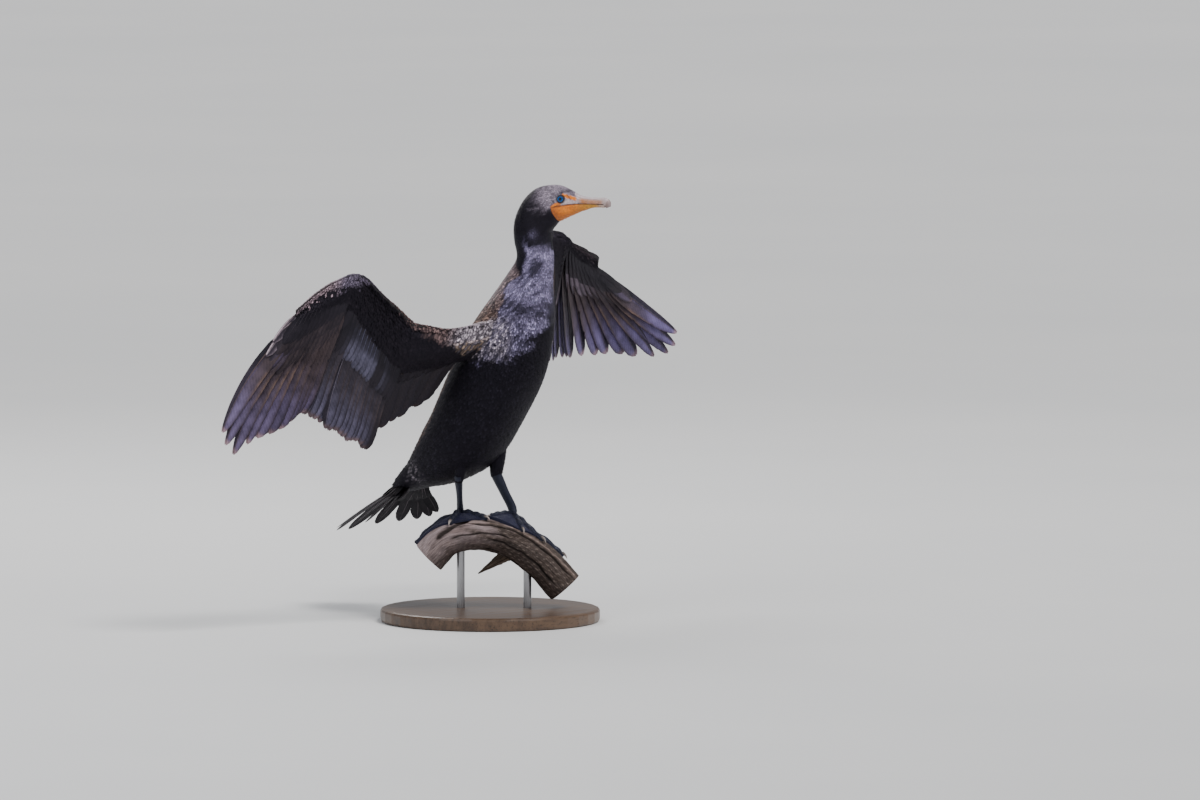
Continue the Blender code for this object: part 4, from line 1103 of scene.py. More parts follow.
WING_RIGHT = {
    "shoulder": (50, -50, 285),
    "elbow": (165, 20, 255),
    "wrist": (266, 24, 358),
    "hand": (336, 71, 310),
    "primary_tips": (
        (325, 78, 176),
        (358, 83, 153),
        (407, 102, 133),
        (428, 108, 117),
        (438, 113, 132),
        (440, 118, 152),
    ),
    "secondary_tips": ((314, 76, 172), (252, 67, 138), (189, 71, 108)),
    "tertial_tips": ((150, 80, 142), (78, 66, 178)),
    "full_edge": ((0, 0), (0.54, 0), (0.62, 3), (0.7, 7), (0.8, 11), (0.9, 13), (1, 12)),
    "ruff": ((0, 0), (1, 0)),
    "primary_curve": (0.03, 0.06),
    "alula_out": -6,
    "edge_feathers": 2,
    "flecks": 1.0,
}
PRIMARY_TIP_PLACES = (0.0, 1 / 3, 2 / 3, 7 / 9, 8 / 9, 1.0)
# Where the joints lie along the bones, as shares of the way out.
ELBOW = 1 / 3
WRIST = 2 / 3
# Along the bones: share of the way out, reach ahead of the bone, reach behind it, half thickness.
WING_CORE = (
    (0.0, 28, 48, 19),
    (0.17, 30, 42, 15),
    (0.33, 50, 32, 11),
    (0.5, 41, 28, 9),
    (0.6, 34, 26, 8.5),
    (0.667, 24, 26, 8),
    (0.75, 22, 22, 7),
    (0.85, 20, 18, 5.5),
    (1.0, 7, 8, 2.5),
)
CORE_PROFILE = ((-1, 0), (-0.5, 0.7), (0.1, 1), (1, 0.4), (1, -0.4), (0.1, -1), (-0.5, -0.7), (-1, 0))
INSIDE_BODY = np.array((-34.0, 6.0, 0.0))
CORE_ROWS = 110
CORE_COLS = 70
# Numbers of large feathers: carpals fill the bend of the wrist, and the alula lies on its front.
PRIMARIES = 10
CARPALS = 2
SECONDARIES = 15
TERTIALS = 6
ALULA_FEATHERS = 3


class Wing:
    """One wing's bones, feather directions and surface normals, worked out from its named places."""

    def __init__(self, name, places, side):
        self.name = name
        self.side = side
        self.mirror = np.array((side, 1, 1))
        self.places = {key: np.array(value, float) for key, value in places.items()}
        self.flecks = places["flecks"]
        # A wing's lit share, one less its flecks, mixes lit copies into the colours of its large feathers:
        # painted light.
        self.lit = 1.0 - self.flecks
        p = self.places
        self.bones = np.array((p["shoulder"], p["elbow"], p["wrist"], p["hand"]))
        self.core = self.make_core()
        self.surface = Surface(self.core * self.mirror)

    def bone(self, share):
        """A point along the bones: 0 shoulder, 1/3 elbow, 2/3 wrist, 1 hand's tip."""
        return np.array([np.interp(share * 3, range(4), self.bones[:, i]) for i in range(3)])

    def primary(self, share):
        """Root and tip of a primary. Share 0 is the innermost and 1 the outermost."""
        tips = self.places["primary_tips"]
        tip = np.array([np.interp(share, PRIMARY_TIP_PLACES, tips[:, i]) for i in range(3)])
        return self.bone(WRIST + (0.045 + 0.93 * share) / 3), tip

    def secondary(self, share):
        """Root and tip of a secondary. Share 0 is next to the wrist and 1 at the elbow."""
        return self.bone(WRIST - (0.04 + 0.92 * share) / 3), at(self.places["secondary_tips"], share)

    def tertial(self, share):
        """Root and tip of a tertial. Share 0 is at the elbow."""
        return self.bone(ELBOW - (0.06 + 0.72 * share) / 3), at(self.places["tertial_tips"], share)

    def chord(self, share):
        """The direction in which the feathers trail at a share of the way out."""
        if share >= WRIST:
            root, tip = self.primary(min(1.0, (share - WRIST) * 3))
        elif share >= ELBOW:
            root, tip = self.secondary((WRIST - share) * 3)
        else:
            root, tip = self.tertial((ELBOW - share) * 3)
        return unit(tip - root)

    def normal(self, share):
        """The direction out of the wing's upper side, smoothed over a stretch of the span."""
        total = np.zeros(3)
        for near in np.linspace(share - 0.12, share + 0.12, 7):
            spot = min(max(near, 0.02), 0.98)
            span = unit(self.bone(spot + 0.02) - self.bone(spot - 0.02))
            total += unit(np.cross(span, self.chord(spot)))
        return unit(total)

    def lead(self, share):
        """The direction square to the bones, in the wing's plane, towards the leading edge."""
        axis = unit(self.bone(min(share + 0.05, 1)) - self.bone(max(share - 0.05, 0)))
        chord = self.chord(share)
        return -unit(chord - axis * float(chord @ axis))

    def along(self, key, share):
        """A measure that is listed along the bones."""
        return float(listed(self.places[key], share))

    def fullness(self, share):
        """How far small feathers and skin fill the leading edge out beyond the plain form."""
        return self.along("full_edge", share)

    def thickness(self, share):
        """Half the fleshy part's thickness."""
        return float(listed(WING_CORE, share, 3))

    def make_core(self):
        """The fleshy part as a closed-round grid, from inside the body to the hand's tip."""
        rows = through(WING_CORE, CORE_ROWS)
        profile = through(CORE_PROFILE, CORE_COLS + 1)[:-1]
        grid = []
        for share, ahead, behind, half in rows:
            share = min(max(share, 0), 1)
            normal = self.normal(share)
            chord = self.chord(share)
            chord = unit(chord - normal * float(chord @ normal))
            reach = profile[:, 0] * np.where(profile[:, 0] > 0, behind, ahead)
            near = [self.bone(min(max(share + step, 0), 1)) for step in np.linspace(-0.035, 0.035, 7)]
            ring = np.mean(near, axis=0) + chord * reach[:, None] + normal * (profile[:, 1:] * half)
            edge = np.clip(-profile[:, :1], 0, 1)
            filled = self.fullness(share) * self.lead(share) + self.along("ruff", share) * normal
            grid.append(ring + edge * filled)
        inside = [grid[0] + INSIDE_BODY * share for share in (1.0, 0.5)]
        self.shares = np.concatenate(((0, 0), rows[:, 0]))
        return np.array(inside + grid)


# How wide a large feather is along its length.
FLIGHT_WIDTH = (
    (0, 0.1),
    (0.06, 0.14),
    (0.14, 0.5),
    (0.24, 0.86),
    (0.4, 1.0),
    (0.75, 1.0),
    (0.88, 0.9),
    (0.95, 0.7),
    (0.985, 0.42),
    (1.0, 0.1),
)
POINTED_WIDTH = (
    (0, 0.1),
    (0.06, 0.14),
    (0.14, 0.5),
    (0.24, 0.9),
    (0.4, 1.0),
    (0.6, 0.95),
    (0.8, 0.78),
    (0.92, 0.52),
    (0.98, 0.28),
    (1.0, 0.08),
)
COVERT_WIDTH = (
    (0, 0.2),
    (0.1, 0.5),
    (0.3, 0.92),
    (0.5, 1.0),
    (0.75, 0.97),
    (0.88, 0.8),
    (0.96, 0.5),
    (1.0, 0.12),
)


class Plumes:
    """Large feathers gathered into one piece, each with its vane, its shaft and its place on the map."""

    def __init__(self, cells):
        self.cells = math.ceil(math.sqrt(cells))
        self.count = 0
        self.verts, self.faces, self.barbs, self.unwrap, self.paint = [], [], [], [], []
        self.total = 0

    def keep(self, points, barbs, unwrap, paint, faces):
        """Takes in points, their maps and paint, and their faces, which count from the first point."""
        self.faces.append(faces + self.total)
        self.verts.append(points.reshape(-1, 3))
        self.barbs.append(barbs.reshape(-1, 2))
        self.unwrap.append(unwrap.reshape(-1, 2))
        self.paint.append(paint.reshape(-1, 3))
        self.total += len(self.verts[-1])

    def add(self, root, tip, normal, width, lead, outline, colours, rng, bow=0.02, louvre=8, camber=0.05,
            curve=0.0, rows=34, half=4, thick=0.36, shade_to=0.0):
        """One feather from root to tip. Its outer edge is raised by the louvre's degrees, and lead is the
        share of its width outside the shaft."""
        root, tip = np.asarray(root, float), np.asarray(tip, float)
        length = float(np.linalg.norm(tip - root))
        ahead = unit(tip - root)
        normal = unit(normal - ahead * float(normal @ ahead))
        side = np.cross(ahead, normal)
        turn = math.radians(louvre)
        slanted = math.cos(turn) * side + math.sin(turn) * normal
        face = np.cross(slanted, ahead)
        shares = 1 - (1 - np.linspace(0, 1, rows)) ** 1.25
        spread = np.concatenate((np.linspace(-1, 0, half + 1), np.linspace(0, 1, half + 1)[1:]))
        wide = listed(outline, shares)
        spine = root + ahead * (length * shares)[:, None] + normal * bow_rise(bow, length, shares)[:, None]
        spine = spine + side * bow_rise(curve, length, shares)[:, None]
        ragged = 1 + rng.normal(0, 0.012, (rows, 2)) * (wide > 0.4)[:, None]
        for _ in range(rng.integers(0, 3)):
            ragged[rng.integers(rows // 3, rows - 3), rng.integers(0, 2)] = rng.uniform(0.86, 0.95)
        outer, inner = width * lead * wide * ragged[:, 0], width * (1 - lead) * wide * ragged[:, 1]
        out = np.where(spread[None] < 0, -spread[None] * outer[:, None], -spread[None] * inner[:, None])
        drop = camber * width * spread[None] ** 2 * wide[:, None]
        lag = np.abs(spread[None]) * width * 0.16 * (wide[:, None] - 0.5) * (shares[:, None] > 0.5)
        middle = spine[:, None] + slanted * out[..., None] - face * drop[..., None] - ahead * lag[..., None]
        edge = 1 - 0.75 * np.abs(spread[None]) ** 3
        half_thick = face * (thick / 2 * edge * (0.4 + 0.6 * wide[:, None]))[..., None]
        top, low = middle + half_thick, middle - half_thick
        ring = np.concatenate((top, low[:, ::-1]), axis=1)
        barbs = np.stack(np.broadcast_arrays(out, length * shares[:, None]), axis=-1)
        barbs = np.concatenate((barbs, barbs[:, ::-1]), axis=1)
        tone = math.exp(rng.normal(0, 0.13))
        top_paint = self.vane_paint(colours["upper"], spread, shares, 0.0) * tone
        low_paint = self.vane_paint(colours["under"], spread, shares, shade_to, colours.get("warm")) * tone
        shaft = np.asarray(colours["shaft"], float)
        vane = np.concatenate((top_paint, low_paint[:, ::-1]), axis=1)
        cell = np.array((self.count % self.cells, self.count // self.cells), float)
        cols = ring.shape[1]
        flat = np.stack(np.meshgrid(np.linspace(0.04, 0.82, cols), np.linspace(0.04, 0.96, rows)), axis=-1)
        self.keep(ring, barbs, (cell + flat) / self.cells, vane, grid_faces(rows, cols, True))
        for end in (0, rows - 1):
            self.close_end(ring[end], barbs[end], (cell + flat[end]) / self.cells, vane[end], end == 0)
        self.add_shaft(spine, face, side, shares, width, shaft, cell, length)
        self.count += 1

    def vane_paint(self, colours, spread, shares, shade_to, warm=None):
        """Colours over one side: leading web, trailing web, rim and tip, darker near the root by painted
        shade, and with painted glints on the trailing rim.
        """
        leading, trailing, rim, tip = (np.asarray(c, float) for c in colours)
        lead_share = np.clip(0.5 - spread * 4, 0, 1)[None, :, None]
        paint = trailing * (1 - lead_share) + leading * lead_share + np.zeros((len(shares), 1, 1))
        paint = over(paint, rim, rising(np.abs(spread), 0.62, 0.95)[None] * np.ones((len(shares), 1)))
        at_tip = rising(shares, 0.955, 0.99)[:, None] * np.ones((1, len(spread)))
        paint = over(paint, tip, at_tip)
        # Painted shade over the root part.
        if shade_to:
            light = 0.22 + 0.78 * rising(shares, shade_to - 0.04, shade_to + 0.12)
            paint = paint * light[:, None, None]
        if warm is not None:
            glow = 1 - rising(shares, shade_to + 0.12, shade_to + 0.4)
            paint = over(paint, warm[0], 0.8 * glow[:, None] * (spread > 0)[None])
            # Painted glints along the trailing web's rim, just beyond the painted shade.
            glint = glow * rising(shares, shade_to, shade_to + 0.1)
            paint = over(paint, (0.14, 0.085, 0.058), warm[1] * glint[:, None] * rising(spread, 0.8, 1.0))
        return paint

    def close_end(self, ring, barbs, unwrap, paint, first):
        """Strips that close a flattened ring across its two sides."""
        count = len(ring)
        quads = np.array([(j, j + 1, count - 2 - j, count - 1 - j) for j in range(count // 2 - 1)])
        self.keep(ring, barbs, unwrap, paint, quads if first else quads[:, ::-1])

    def add_shaft(self, spine, face, side, shares, width, colour, cell, length):
        """A tapered shaft, standing proud of both sides of the vane."""
        radius = width * 0.05 * (1 - 0.85 * shares) + 0.12
        out = out_of_round(full_turn(5) + 0.3, side, face)
        grid = spine[:, None] + out * radius[:, None, None]
        rows, cols = grid.shape[:2]
        barbs = np.stack(np.broadcast_arrays(np.zeros((1, cols)), length * shares[:, None]), axis=-1)
        flat = np.stack(np.meshgrid(np.linspace(0.86, 0.96, cols), np.linspace(0.04, 0.96, rows)), axis=-1)
        paint = np.broadcast_to(colour, (rows, cols, 3))
        self.keep(grid, barbs, (cell + flat) / self.cells, paint, grid_faces(rows, cols, True))

    def finish(self, name, finish, mirror=(1, 1, 1), replaces=()):
        verts = np.concatenate(self.verts) * mirror
        maps = {"OFBake": np.concatenate(self.unwrap), "Barbs": np.concatenate(self.barbs)}
        paint = np.concatenate(self.paint)
        piece(name, verts, self.faces, finish, replaces, maps, paint, sharp=50)


# Colours of large feathers. Each side has its leading web, trailing web, rim and tip. Warm holds a brown
# for the under side's root part and the strength of painted glints along its trailing rim.
UPPER_DARK = ((0.05, 0.042, 0.048), (0.042, 0.033, 0.036), (0.014, 0.011, 0.014), (0.04, 0.03, 0.03))
UPPER_BRONZE = ((0.13, 0.088, 0.062), (0.12, 0.078, 0.055), (0.012, 0.009, 0.011), (0.012, 0.009, 0.011))
PRIMARY = {
    "under": ((0.018, 0.014, 0.022), (0.115, 0.09, 0.17), (0.028, 0.018, 0.026), (0.24, 0.16, 0.18)),
    "upper": UPPER_DARK,
    "shaft": (0.085, 0.055, 0.05),
    "warm": ((0.048, 0.033, 0.031), 0.6),
}
SECONDARY = {
    "under": ((0.015, 0.012, 0.019), (0.09, 0.082, 0.13), (0.01, 0.008, 0.013), (0.12, 0.08, 0.085)),
    "upper": UPPER_DARK,
    "shaft": (0.13, 0.11, 0.14),
    "warm": ((0.03, 0.024, 0.028), 0.15),
}
TERTIAL = {
    "under": ((0.013, 0.01, 0.012), (0.016, 0.012, 0.013), (0.007, 0.005, 0.007), (0.03, 0.018, 0.016)),
    "upper": UPPER_BRONZE,
    "shaft": (0.025, 0.02, 0.02),
}
BLUE_COVERT = {
    "under": ((0.058, 0.056, 0.086), (0.092, 0.087, 0.134), (0.012, 0.011, 0.02), (0.042, 0.038, 0.054)),
    "upper": UPPER_BRONZE,
    "shaft": (0.07, 0.068, 0.11),
}
BROWN_COVERT = {
    "under": ((0.03, 0.023, 0.027), (0.034, 0.024, 0.024), (0.013, 0.009, 0.011), (0.04, 0.03, 0.035)),
    "upper": UPPER_BRONZE,
    "shaft": (0.04, 0.03, 0.03),
}
LINING = {
    "under": ((0.009, 0.007, 0.009), (0.009, 0.007, 0.009), (0.005, 0.004, 0.005), (0.009, 0.007, 0.008)),
    "upper": UPPER_BRONZE,
    "shaft": (0.014, 0.011, 0.013),
}
ALULA = {
    "under": ((0.02, 0.016, 0.02), (0.03, 0.022, 0.026), (0.012, 0.01, 0.012), (0.05, 0.04, 0.045)),
    "upper": UPPER_DARK,
    "shaft": (0.06, 0.05, 0.05),
}
EDGE_COVERT = {
    "under": ((0.5, 0.4, 0.45), (0.02, 0.015, 0.02), (0.14, 0.11, 0.13), (0.04, 0.03, 0.04)),
    "upper": UPPER_DARK,
    "shaft": (0.08, 0.06, 0.06),
}
# A lit copy of the coverts' colours, mixed in by how lit a wing is: painted light.
LIT_MAUVE_COVERT = {
    "under": ((0.055, 0.042, 0.052), (0.125, 0.095, 0.122), (0.028, 0.021, 0.027), (0.08, 0.06, 0.075)),
    "upper": UPPER_BRONZE,
    "shaft": (0.05, 0.04, 0.045),
}
# A lit copy of the primaries' and secondaries' colours, mixed in by how lit a wing is: painted light.
LIT_VIOLET_FLIGHT = {
    "under": ((0.022, 0.018, 0.034), (0.135, 0.11, 0.245), (0.03, 0.02, 0.035), (0.24, 0.16, 0.2)),
    "upper": UPPER_DARK,
    "shaft": (0.085, 0.06, 0.07),
}
TAIL = {
    "under": ((0.008, 0.0065, 0.008), (0.008, 0.0065, 0.008), (0.003, 0.0025, 0.003), (0.006, 0.005, 0.006)),
    "upper": ((0.009, 0.0075, 0.009), (0.009, 0.0075, 0.009), (0.003, 0.0025, 0.003), (0.006, 0.005, 0.006)),
    "shaft": (0.11, 0.09, 0.1),
}
TAIL_WIDTH = (
    (0, 0.2),
    (0.08, 0.4),
    (0.3, 0.85),
    (0.6, 1.0),
    (0.82, 0.92),
    (0.92, 0.68),
    (0.97, 0.42),
    (1.0, 0.1),
)


def mixed(first, second, share):
    """A set of feather colours between two others."""
    found = {}
    for key in ("under", "upper", "shaft"):
        a, b = np.array(first[key]), np.array(second[key])
        found[key] = a * (1 - share) + b * share
    return found


def make_flight_feathers(wing, finish):
    """The ten primaries, the secondaries, the tertials and two feathers that fill the bend of the wrist."""
    rng = np.random.default_rng(21 if wing.side > 0 else 22)
    inner_curve, outer_curve = wing.places["primary_curve"]
    plumes = Plumes(PRIMARIES + SECONDARIES + TERTIALS + CARPALS)
    for i in range(PRIMARIES):
        share = i / (PRIMARIES - 1)
        root, tip = wing.primary(share)
        outline = POINTED_WIDTH if share > 0.6 else FLIGHT_WIDTH
        # Lit wings take a lit copy of the colours: painted light.
        colours = mixed(PRIMARY, LIT_VIOLET_FLIGHT, wing.lit)
        colours["warm"] = (PRIMARY["warm"][0], 0.75 * rising(share, 0.25, 0.55))
        plumes.add(root, tip + rng.normal(0, 1.2, 3), wing.normal(WRIST + share / 3), 31 - 3 * share,
                   0.38 - 0.1 * share, outline, colours, rng, bow=0.02,
                   curve=inner_curve + (outer_curve - inner_curve) * share, rows=48,
                   shade_to=0.56 - 0.16 * rising(share, 0.1, 0.5))
    for i in range(CARPALS):
        share = (i + 1) / (CARPALS + 1)
        tip = wing.primary(0)[1] * share + wing.secondary(0)[1] * (1 - share)
        root = wing.bone(WRIST - 0.01 + 0.02 * share)
        colours = mixed(SECONDARY, LIT_VIOLET_FLIGHT, wing.lit)
        plumes.add(root, tip, wing.normal(WRIST), 27, 0.4, FLIGHT_WIDTH, colours, rng, bow=0.025, curve=0.03,
                   rows=44, shade_to=0.45)
    for i in range(SECONDARIES):
        share = (i + 0.3) / (SECONDARIES - 0.4)
        root, tip = wing.secondary(share)
        colours = mixed(mixed(SECONDARY, LIT_VIOLET_FLIGHT, wing.lit), TERTIAL, rising(share, 0.78, 1.0))
        colours["warm"] = SECONDARY["warm"]
        plumes.add(root, tip + rng.normal(0, 1.6, 3), wing.normal(WRIST - share / 3),
                   rng.uniform(22, 26), 0.4, FLIGHT_WIDTH, colours, rng, bow=0.03, curve=0.035, rows=44,
                   shade_to=0.5)
    for i in range(TERTIALS):
        share = i / (TERTIALS - 1)
        root, tip = wing.tertial(share)
        plumes.add(root, tip + rng.normal(0, 2, 3), wing.normal(ELBOW - share / 3), 30, 0.5, FLIGHT_WIDTH,
                   TERTIAL, rng, bow=0.04, curve=0.03)
    name = f"wing_{wing.name}"
    plumes.finish(f"{name}_flight_feathers", finish, wing.mirror, (name,))


# Rows of coverts, from the longest to the shortest: share of the flight feather's length that they reach
# on the hand and on the arm, width, clearance over the flight feathers and how deep their roots lie.
COVERT_ROWS = (
    (0.43, 0.455, 19, 3.2, 0.55),
    (0.3, 0.29, 18, 4.4, 0.75),
    (0.2, 0.2, 16, 5.4, 0.9),
)
# How far the tips of the arm's longest coverts are moved from the wrist towards the elbow.
COVERT_SLANT = 9


def covert_colours(level, part, place, lit):
    """Colours of a covert by its row, its part of the wing, its place there, and how lit its wing is, which
    mixes in lit copies of its colours as painted light.
    """
    if level == 0 and part == "arm":
        pale = rising(place, 0.06, 0.22) * (1 - rising(place, 0.6, 0.66))
        patch = math.exp(-(((place - 0.8) / 0.04) ** 2))
        blue = mixed(LINING, BLUE_COVERT, max(pale, 0.4 * patch))
        return mixed(blue, LIT_MAUVE_COVERT, lit * (1 - rising(place, 0.6, 0.8)))
    if level == 0 and part == "hand":
        brown = mixed(BROWN_COVERT, PRIMARY, 0.45 * rising(place, 0.8, 0.95))
        return mixed(brown, LIT_MAUVE_COVERT, lit * (1 - rising(place, 0.25, 0.7)))
    if level == 1 and part == "hand":
        return mixed(LINING, BROWN_COVERT, 0.6 * (1 - 0.8 * lit))
    return LINING


def add_alula(wing, plumes, rng):
    """The short feathers that lie on the front of the wrist."""
    for i in range(ALULA_FEATHERS):
        start, end = 0.68 + 0.03 * i, 0.8 + 0.075 * i
        lift = 2 + 1.5 * (ALULA_FEATHERS - i)
        edge = listed(WING_CORE, end) * 0.57
        root = wing.bone(start) + wing.lead(start) * 6 + wing.normal(start) * lift * 0.6
        tip = wing.bone(end) + wing.lead(end) * (edge + wing.fullness(end) + wing.places["alula_out"])
        plumes.add(root, tip + wing.normal(end) * lift, wing.normal(0.75), 17, 0.4, COVERT_WIDTH, ALULA, rng,
                   bow=0.03, curve=-0.05, half=3)


def add_edge_feathers(wing, plumes, count, rng):
    """Pale feathers along the front edge of the hand."""
    root, tip = wing.primary(1.0)
    for i in range(count):
        start = root + (tip - root) * (0.07 * i - 0.03) + wing.lead(0.97) * (7 - 1.5 * i)
        end = root + (tip - root) * (0.26 + 0.11 * i) + wing.lead(0.97) * (13 - 3.5 * i)
        plumes.add(start, end, wing.normal(0.95), 12, 0.22, COVERT_WIDTH, EDGE_COVERT, rng, curve=0.03)


def make_coverts(wing, finish):
    """Three rows of coverts over the flight feathers and three under them, following their bend."""
    rng = np.random.default_rng(31 if wing.side > 0 else 32)
    parts = (
        ("hand", PRIMARIES + 1, wing.primary, WRIST, 1, 0.02),
        ("arm", SECONDARIES + 1, wing.secondary, WRIST, -1, 0.03),
        ("inner", TERTIALS + 1, wing.tertial, ELBOW, -1, 0.04),
    )
    groups = []
    for part, count, ends_of, joint, way, bow in parts:
        for place in (np.arange(count) + 0.5) / count:
            groups.append((ends_of(place), joint + way * place / 3, part, bow, place))
    edge_feathers = int(wing.places["edge_feathers"])
    plumes = Plumes(2 * len(groups) * len(COVERT_ROWS) + ALULA_FEATHERS + edge_feathers)
    add_alula(wing, plumes, rng)
    add_edge_feathers(wing, plumes, edge_feathers, rng)
    inward = unit(wing.places["elbow"] - wing.places["wrist"])
    for level, (hand_reach, arm_reach, width, clearance, depth_share) in enumerate(COVERT_ROWS):
        for (root, tip), share, part, bow, place in groups:
            reach = (hand_reach if part == "hand" else arm_reach) * rng.uniform(0.97, 1.03)
            normal = wing.normal(share)
            length = np.linalg.norm(tip - root)
            rise = bow_rise(bow, length, reach)
            depth = depth_share * wing.thickness(share)
            colours = covert_colours(level, part, place, wing.lit)
            # Painted shade over the root part, longer on the arm's longest coverts.
            shade_to = 0.6 if level == 0 and part == "arm" else 0.3
            for sign in (1, -1):
                start = 3 - 5 * level
                base = root + unit(tip - root) * start + normal * sign * depth
                end = root + (tip - root) * reach + normal * (rise + sign * clearance)
                if level == 0 and part == "arm":
                    end = end + inward * COVERT_SLANT
                plumes.add(base, end, normal, width, 0.45, COVERT_WIDTH, colours, rng,
                           bow=0.01 + 0.015 * sign, rows=18, half=3, camber=0.05 * sign, louvre=7,
                           thick=0.3, shade_to=shade_to)
    plumes.finish(f"wing_{wing.name}_coverts", finish, wing.mirror)


# The pale, scaly band on a wing's leading edge: share of the way out, and how far over the wing it reaches.
EDGE_BAND = (
    (0.0, 0.5),
    (0.08, 0.48),
    (0.14, 0.36),
    (0.18, 0.25),
    (0.24, 0.15),
    (0.29, 0.06),
    (0.34, 0.01),
    (0.42, -0.06),
    (0.58, -0.06),
    (0.65, 0.3),
    (0.72, 0.26),
    (0.78, 0.15),
    (1.0, 0.15),
)
UPPER_SCALES = np.array((0.13, 0.086, 0.06))
LINING_BLACK = np.array((0.008, 0.006, 0.008))
ARM_BROWN = np.array((0.27, 0.175, 0.165))
SHOULDER_TAN = np.array((0.58, 0.42, 0.32))
WRIST_GREY = np.array((0.2, 0.165, 0.24))
HAND_PINK = np.array((0.58, 0.42, 0.48))
# A tract is a row of small feathers along the wing: 0 at the leading edge, and 1 at the rear of the flesh.
TRACTS = np.linspace(-0.07, 0.97, 22)
REAR_COLUMN = 3 / 7
HEADING = math.radians(108)


def wing_coat_colours(share, tract, upper, flecks, rng):
    """Colours of a wing's small feathers: bronze scales above, black below and pale flecks in front."""
    count = len(share)
    pale = np.clip((listed(EDGE_BAND, share) - tract) / 0.12 + 0.5, 0, 1)
    outer = rising(share, 0.4, 0.6)
    chance = rng.uniform(0, 1, count)
    stray = (chance > 0.86) * np.clip((0.42 - tract) / 0.1, 0, 1) * rising(share, 0.6, 0.68)
    speckled = flecks * (0.4 + 0.6 * rng.uniform(0, 1, count))
    pale = np.where(outer > 0.5, speckled * np.maximum(pale, stray), pale * (0.12 + 0.88 * chance**1.3))
    middle = np.where(upper[:, None], UPPER_SCALES, LINING_BLACK)
    tan = rising(tract, 0.2, 0.36) * (chance > 0.4)
    bright = over(np.zeros((count, 3)) + SHOULDER_GREY, SHOULDER_TAN, tan)
    bright = over(bright, ARM_BROWN, rising(share, 0.12, 0.2))
    bright = over(bright, WRIST_GREY, outer)
    bright = over(bright, HAND_PINK, rising(share, 0.7, 0.8))
    middle = over(middle, (0, 0, 0), pale) + bright * pale[:, None]
    middle = middle * np.exp(rng.normal(0, 0.28, count))[:, None]
    rim = 0.1 + 0.4 * (tract < 0.07)
    edge = np.zeros((count, 3)) + BLACK_EDGE + bright * (rim * pale)[:, None]
    return middle, edge


def make_wing_coat(wing, inside, finish):
    """Small feathers over the fleshy part of a wing, trailing back on both sides from its leading edge."""
    rng = np.random.default_rng(41 if wing.side > 0 else 42)
    surface = wing.surface
    found, tracts, uppers = [], [], []
    for sign in (1, -1):
        for k, tract in enumerate(TRACTS):
            turn = tract * REAR_COLUMN
            col = (turn if sign > 0 else 1 - turn) * surface.cols
            rows = np.arange(surface.rows, dtype=float)
            around = np.cumsum(surface.read(surface.row_step, rows, np.full(surface.rows, col)))
            length = 6.5 + 4.5 * np.clip(tract / 0.5, 0, 1)
            count = int(around[-1] / (length * 0.36))
            places = np.arange(count) + 0.5 * (k % 2) + rng.uniform(-0.25, 0.25, count)
            block = np.empty((count, 6))
            block[:, 0] = np.interp(places / count * around[-1], around, np.arange(surface.rows))
            block[:, 1] = col + rng.uniform(-0.4, 0.4, count)
            # Feathers are shorter towards the hand's tip, and longer next to the body.
            narrow = 0.6 + 0.4 * np.clip((108 - block[:, 0]) / 24, 0, 1)
            narrow = narrow * (1 + 0.45 * np.clip((40 - block[:, 0]) / 12, 0, 1) * (tract > 0.12))
            block[:, 2] = length * rng.uniform(0.9, 1.2, count) * narrow
            block[:, 3] = block[:, 2] * FEATHER_WIDTH
            block[:, 4] = sign * (HEADING + rng.normal(0, 0.1, count))
            block[:, 5] = rng.uniform(0.1, 0.8, count)
            found.append(block)
            tracts.append(np.full(count, tract))
            uppers.append(np.full(count, sign > 0))
    roots, tracts, uppers = np.concatenate(found), np.concatenate(tracts), np.concatenate(uppers)
    keep = growing_out(surface, roots, inside) & (roots[:, 0] > 3)
    roots = roots[keep]
    shares = np.interp(roots[:, 0], np.arange(surface.rows), wing.shares)
    colours = wing_coat_colours(shares, tracts[keep], uppers[keep], wing.flecks, rng)
    coat(f"coat_wing_{wing.name}", surface, roots, finish, WING_COAT_DEPTH, colours)


# Tail

TAIL_START = (-170, 46)
TAIL_PITCH = math.radians(30)
TAIL_DROOP = math.radians(35)
TAIL_SPREAD = math.radians(60)
TAIL_LONGEST = 184
TAIL_SHORTEST = 68
TAIL_PAIRS = 6


